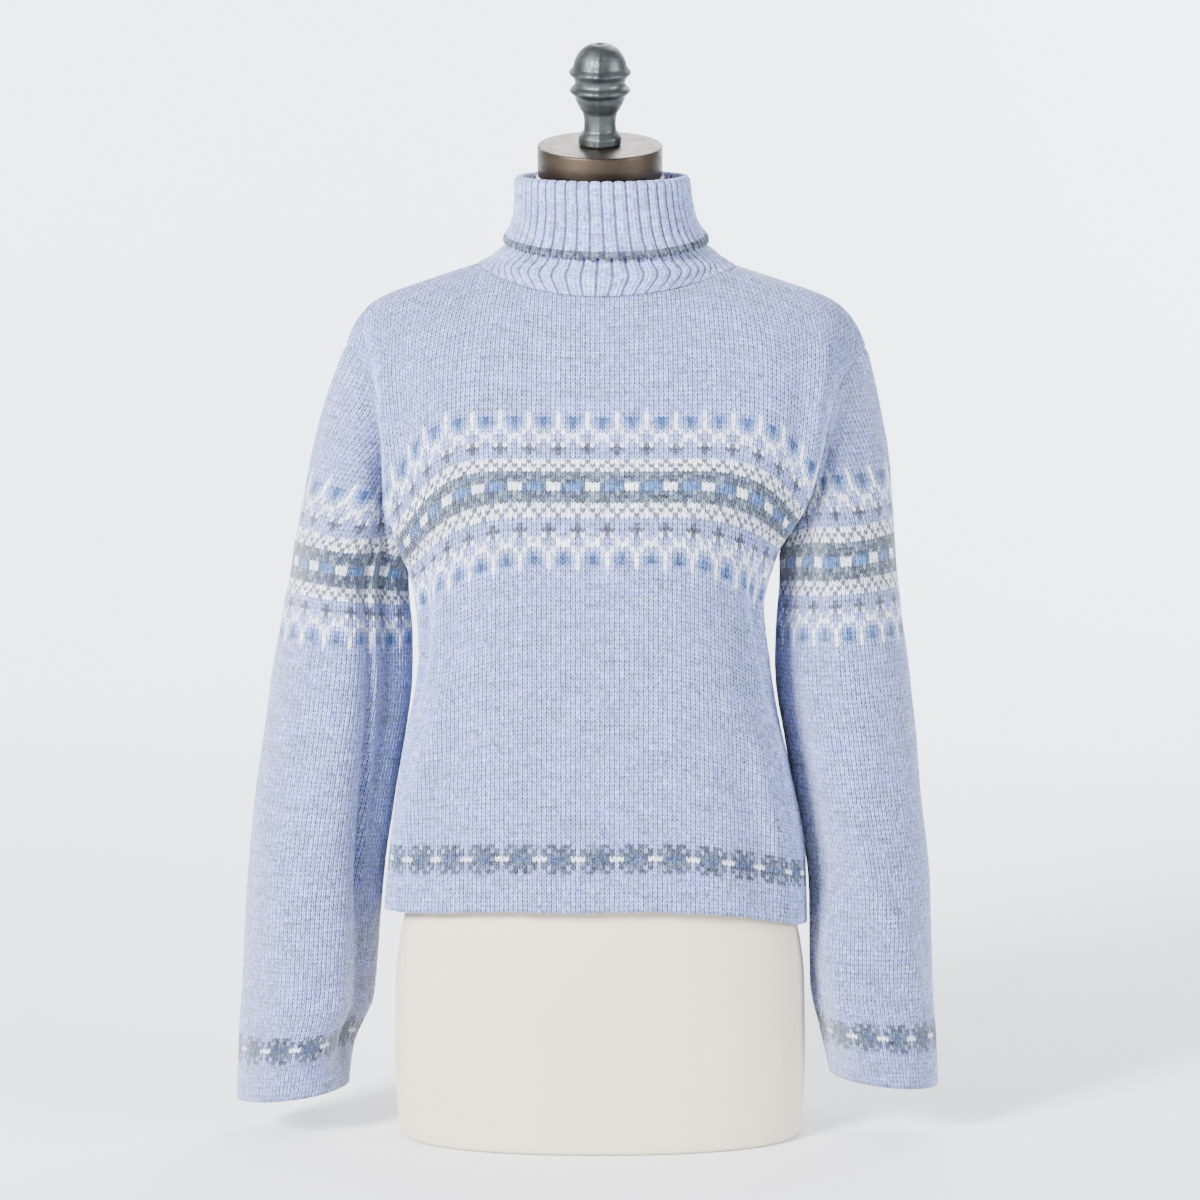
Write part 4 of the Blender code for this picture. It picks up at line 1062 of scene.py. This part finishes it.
def blendColour(tree, kind, amount, a, b, x=0, y=0):
    made = node(tree, "ShaderNodeMix", x, y, data_type="RGBA", blend_type=kind)
    for index, value in ((0, amount), (6, a), (7, b)):
        if hasattr(value, "is_linked"):
            tree.links.new(value, made.inputs[index])
        elif index == 0:
            made.inputs[0].default_value = value
        else:
            made.inputs[index].default_value = (*value, 1.0)
    return made.outputs[2]


def startMaterial(name, roughness):
    made = bpy.data.materials.new(name)
    made.use_nodes = True
    tree = made.node_tree
    shader = tree.nodes["Principled BSDF"]
    shader.location = (600, 0)
    tree.nodes["Material Output"].location = (900, 0)
    shader.inputs["Roughness"].default_value = roughness
    return made, tree, shader


def useGroup(tree, group, x, y, **values):
    made = node(tree, "ShaderNodeGroup", x, y, node_tree=group)
    for name, value in values.items():
        made.inputs[name].default_value = value
    return made


def bump(tree, height, strength, distance, x=0, y=0, normal=None):
    made = node(tree, "ShaderNodeBump", x, y)
    made.inputs["Strength"].default_value = strength
    made.inputs["Distance"].default_value = distance
    tree.links.new(height, made.inputs["Height"])
    if normal is not None:
        tree.links.new(normal, made.inputs["Normal"])
    return made.outputs[0]


wool = {
    "roughness": 0.92, "sheen": 0.30, "sheenRoughness": 0.6,
    # the first colour is painted shade, multiplied into the stitch holes and the rib grooves
    "holeShadowColour": (0.02, 0.02, 0.09), "fleck": (0.42, 0.42, 0.72), "fleckAmount": 0.7,
    "stitchBump": 0.0007, "fibreBump": 0.0003,
}


def woolMaterial(name, legs, holeWidth, holeHeight, wander, holeShade, ribShade):
    made, tree, shader = startMaterial(name, wool["roughness"])
    shader.inputs["Sheen Weight"].default_value = wool["sheen"]
    shader.inputs["Sheen Roughness"].default_value = wool["sheenRoughness"]
    shader.inputs["Specular IOR Level"].default_value = 0.2
    dye = node(tree, "ShaderNodeVertexColor", -900, 250, layer_name="yarn")
    relief = useGroup(tree, reliefGroup, -900, -50)
    relief.inputs["Legs"].default_value = legs
    relief.inputs["Hole Width"].default_value = holeWidth
    relief.inputs["Hole Height"].default_value = holeHeight
    relief.inputs["Wander"].default_value = wander
    fibre = useGroup(tree, fibreGroup, -900, -300, Scale=900.0)
    clearer = ramp(tree, fibre.outputs["Cloud"], ((0.30, (0.75, 0.75, 0.75)), (0.65, (1, 1, 1))), -700, -50)
    # painted shade in the holes is weaker in the soft white yarn, where the holes close up
    parts = node(tree, "ShaderNodeSeparateColor", -900, 450)
    tree.links.new(dye.outputs["Color"], parts.inputs[0])
    white = math2(tree, "MULTIPLY_ADD", parts.outputs[0], -1.7, -700, 450, 2.05)
    open_ = math2(tree, "MINIMUM", math2(tree, "MULTIPLY", white, holeShade, -500, 450), holeShade, -400, 450)
    # painted shade in the stitch holes, varied by the heather's cloud
    shadow = math2(tree, "MULTIPLY", math2(tree, "MULTIPLY", relief.outputs["Hole"], clearer, -500, 0), open_,
                   -350, 0)
    # painted shade in the grooves between ribs, for the ribbed collar
    if ribShade:
        shadow = math2(tree, "MAXIMUM", shadow,
                       math2(tree, "MULTIPLY", relief.outputs["Rib Groove Shade"], ribShade, -350, -120), -250, -60)
    # painted shade of the holes and rib grooves: the yarn's colour multiplied towards a dark blue
    colour = blendColour(tree, "MULTIPLY", shadow, dye.outputs["Color"], wool["holeShadowColour"], -200, 250)
    flecks = ramp(tree, fibre.outputs["Fleck"], ((0.47, (0, 0, 0)), (0.63, (1, 1, 1))), -600, -300)
    colour = blendColour(tree, "MULTIPLY", math2(tree, "MULTIPLY", flecks, wool["fleckAmount"], -300, -250),
                         colour, wool["fleck"], -50, 250)
    cloud = ramp(tree, fibre.outputs["Cloud"], ((0.3, (0.88, 0.88, 0.93)), (0.7, (1.06, 1.06, 1.04))), -600,
                 -550)
    colour = blendColour(tree, "MULTIPLY", 1.0, colour, cloud, 100, 250)
    threads = ramp(tree, fibre.outputs["Height"], ((0.44, (0.58, 0.58, 0.70)), (0.68, (1.42, 1.42, 1.32))),
                   -600, -800)
    colour = blendColour(tree, "MULTIPLY", 1.0, colour, threads, 250, 250)
    # a dark yarn shows pale fibres
    dark = math2(tree, "MAXIMUM", math2(tree, "MULTIPLY_ADD", parts.outputs[0], -5.5, -700, 600, 1.0), 0.0,
                 -500, 600)
    pale = ramp(tree, fibre.outputs["Height"], ((0.585, (0, 0, 0)), (0.655, (1, 1, 1))), -600, -1050)
    colour = blendColour(tree, "MIX", math2(tree, "MULTIPLY", math2(tree, "MULTIPLY", pale, dark, -300, 600),
                                            0.45, -150, 600), colour, (0.34, 0.41, 0.48), 350, 350)
    tree.links.new(colour, shader.inputs["Base Color"])
    first = bump(tree, relief.outputs["Height"], 0.8, wool["stitchBump"], 50, -200)
    tree.links.new(bump(tree, fibre.outputs["Height"], 0.6, wool["fibreBump"], 250, -200, first),
                   shader.inputs["Normal"])
    return made


def clothMaterial():
    # plain fine cloth drawn tight over the form: two crossed sets of threads
    made, tree, shader = startMaterial("coverCloth", 0.85)
    shader.inputs["Sheen Weight"].default_value = 0.15
    shader.inputs["Specular IOR Level"].default_value = 0.25
    place = node(tree, "ShaderNodeTexCoord", -1100, 0)
    heights = []
    for k, direction in enumerate(("X", "Z")):
        wave = node(tree, "ShaderNodeTexWave", -850, -200 * k, wave_type="BANDS", bands_direction=direction)
        wave.inputs["Scale"].default_value = 420.0
        wave.inputs["Distortion"].default_value = 0.8
        wave.inputs["Detail"].default_value = 1.0
        tree.links.new(place.outputs["Object"], wave.inputs["Vector"])
        heights.append(wave.outputs["Fac"])
    weave = math2(tree, "MULTIPLY", heights[0], heights[1], -600, -100)
    cloud = node(tree, "ShaderNodeTexNoise", -850, 300)
    cloud.inputs["Scale"].default_value = 9.0
    cloud.inputs["Detail"].default_value = 4.0
    tree.links.new(place.outputs["Object"], cloud.inputs["Vector"])
    base = ramp(tree, cloud.outputs["Fac"], ((0.3, (0.60, 0.51, 0.40)), (0.7, (0.66, 0.57, 0.46))), -600, 300)
    colour = blendColour(tree, "MULTIPLY", math2(tree, "MULTIPLY", weave, 0.5, -400, 0), base,
                         (0.80, 0.78, 0.74), -200, 250)
    tree.links.new(colour, shader.inputs["Base Color"])
    tree.links.new(bump(tree, weave, 0.35, 0.0002, 100, -150), shader.inputs["Normal"])
    return made


def metalMaterial(name, dark, light, roughness, metallic, grain, bumpDistance, stretch=(1.0, 1.0, 1.0)):
    made, tree, shader = startMaterial(name, roughness[0])
    shader.inputs["Metallic"].default_value = metallic
    place = node(tree, "ShaderNodeTexCoord", -1100, 0)
    mapping = node(tree, "ShaderNodeMapping", -950, 0)
    mapping.inputs["Scale"].default_value = stretch
    tree.links.new(place.outputs["Object"], mapping.inputs["Vector"])
    patches = node(tree, "ShaderNodeTexNoise", -750, 200)
    patches.inputs["Scale"].default_value = grain * 0.12
    patches.inputs["Detail"].default_value = 6.0
    tree.links.new(mapping.outputs[0], patches.inputs["Vector"])
    fine = node(tree, "ShaderNodeTexNoise", -750, -100)
    fine.inputs["Scale"].default_value = grain
    fine.inputs["Detail"].default_value = 5.0
    tree.links.new(mapping.outputs[0], fine.inputs["Vector"])
    colour = ramp(tree, patches.outputs["Fac"], ((0.32, dark), (0.72, light)), -450, 200)
    tree.links.new(colour, shader.inputs["Base Color"])
    rough = ramp(tree, fine.outputs["Fac"], ((0.3, (roughness[0],) * 3), (0.7, (roughness[1],) * 3)), -450,
                 -50)
    tree.links.new(rough, shader.inputs["Roughness"])
    tree.links.new(bump(tree, fine.outputs["Fac"], 0.5, bumpDistance, 100, -200), shader.inputs["Normal"])
    return made


reliefGroup, fibreGroup = stitchReliefGroup(), woolFibreGroup()
knitWool = woolMaterial("knitWool", 2.0, 0.36, 0.50, 0.24, 1.0, 0.0)
ribWool = woolMaterial("ribWool", 3.0, 0.30, 0.42, 0.07, 0.45, 0.80)
for name, piece in knitted.items():
    piece.data.materials.append(ribWool if name == "collar" else knitWool)
cover.data.materials.append(clothMaterial())
cap.data.materials.append(metalMaterial("brownMetal", (0.038, 0.027, 0.019), (0.085, 0.063, 0.045),
                                        (0.34, 0.5), 0.85, 90.0, 0.0001, (1.0, 1.0, 4.0)))
knob.data.materials.append(metalMaterial("greyCasting", (0.022, 0.026, 0.027), (0.078, 0.086, 0.087),
                                         (0.36, 0.60), 0.8, 420.0, 0.0005))
print("materials made")


# ---- each sleeve's lattice points, read and not used ----


for side in ("left", "right"):
    points = lattices[side]["points"]


# ---- camera, floor and light ----

view = {"target": (0.0, 0.0, 0.443), "distance": 3.2, "elevation": 6.0, "lens": 36.0 * 3.2 / 0.984}
lights = (   # name, place, aim, size, power, colour
    ("keySoftbox", (-2.3, -2.7, 1.9), (0.0, 0.0, 0.5), (1.0, 1.0), 640.0, (0.97, 0.985, 1.0)),
    ("fillSoftbox", (3.3, -1.7, 1.3), (0.0, 0.0, 0.5), (1.2, 1.6), 220.0, (0.95, 0.98, 1.0)),
    ("hairSoftbox", (0.4, 1.6, 2.4), (0.0, 0.0, 0.6), (1.4, 0.8), 60.0, (1.0, 1.0, 1.0)),
    ("backdropLeft", (-2.2, 2.7, 2.6), (-0.7, 4.7, 0.5), (1.6, 0.8), 210.0, (0.84, 0.96, 1.0)),
    ("backdropRight", (2.2, 2.7, 2.6), (0.9, 4.7, 0.7), (1.6, 0.8), 320.0, (0.84, 0.96, 1.0)),
)


def aim(obj, target):
    # turn the object's -Z axis towards the target
    obj.rotation_euler = (Vector(target) - obj.location).to_track_quat("-Z", "Y").to_euler()


camera = bpy.data.objects.new("camera", bpy.data.cameras.new("camera"))
lift = math.radians(view["elevation"])
camera.location = (view["target"][0], view["target"][1] - view["distance"] * math.cos(lift),
                   view["target"][2] + view["distance"] * math.sin(lift))
camera.data.lens = view["lens"]
camera.data.sensor_width = 36.0
aim(camera, view["target"])
bpy.context.collection.objects.link(camera)
bpy.context.scene.camera = camera

for name, place, target, size, power, colour in lights:
    lamp = bpy.data.lights.new(name, "AREA")
    lamp.shape = "RECTANGLE"
    lamp.size, lamp.size_y = size
    lamp.energy, lamp.color = power, colour
    made = bpy.data.objects.new(name, lamp)
    made.location = place
    aim(made, target)
    bpy.context.collection.objects.link(made)

# soft light from all round, strongest from above: strength by direction along one line
world = bpy.data.worlds.new("studio")
bpy.context.scene.world = world
world.use_nodes = True
sky = world.node_tree
direction = node(sky, "ShaderNodeTexCoord", -900, 0)
along = node(sky, "ShaderNodeVectorMath", -700, 0, operation="DOT_PRODUCT")
along.inputs[1].default_value = (-0.10, -0.35, 0.93)
sky.links.new(direction.outputs["Generated"], along.inputs[0])
strength = math2(sky, "MULTIPLY_ADD", along.outputs["Value"], 0.32, -500, 0, 0.34)
sky.links.new(strength, sky.nodes["Background"].inputs["Strength"])
sky.nodes["Background"].inputs["Color"].default_value = (0.93, 0.95, 1.0, 1.0)

# floor that sweeps up into the backdrop: flat, then a quarter circle, then a wall
sweep = {"halfWidth": 9.0, "front": -6.0, "bend": 3.3, "radius": 1.4, "height": 6.0}
turn = np.linspace(0, math.pi / 2, 24)
line = np.concatenate([[[sweep["front"], 0.0]],
                       np.stack([sweep["bend"] + sweep["radius"] * np.sin(turn),
                                 sweep["radius"] * (1 - np.cos(turn))], -1),
                       [[sweep["bend"] + sweep["radius"], sweep["height"]]]])
across = np.linspace(-sweep["halfWidth"], sweep["halfWidth"], 5)
points = np.stack([np.broadcast_to(across[None, :], (len(line), 5)),
                   np.broadcast_to(line[:, :1], (len(line), 5)),
                   np.broadcast_to(line[:, 1:], (len(line), 5))], -1)
quads = gridTriangles(len(line), 5, False)[0]
backdrop = addMesh("backdrop", points.reshape(-1, 3) / mm, splitQuads(quads)[0], None, None)
paper, paperTree, paperShader = startMaterial("backdropPaper", 0.95)
paperShader.inputs["Base Color"].default_value = (0.80, 0.81, 0.82, 1.0)
paperShader.inputs["Specular IOR Level"].default_value = 0.1
backdrop.data.materials.append(paper)
print("camera, light and backdrop made")
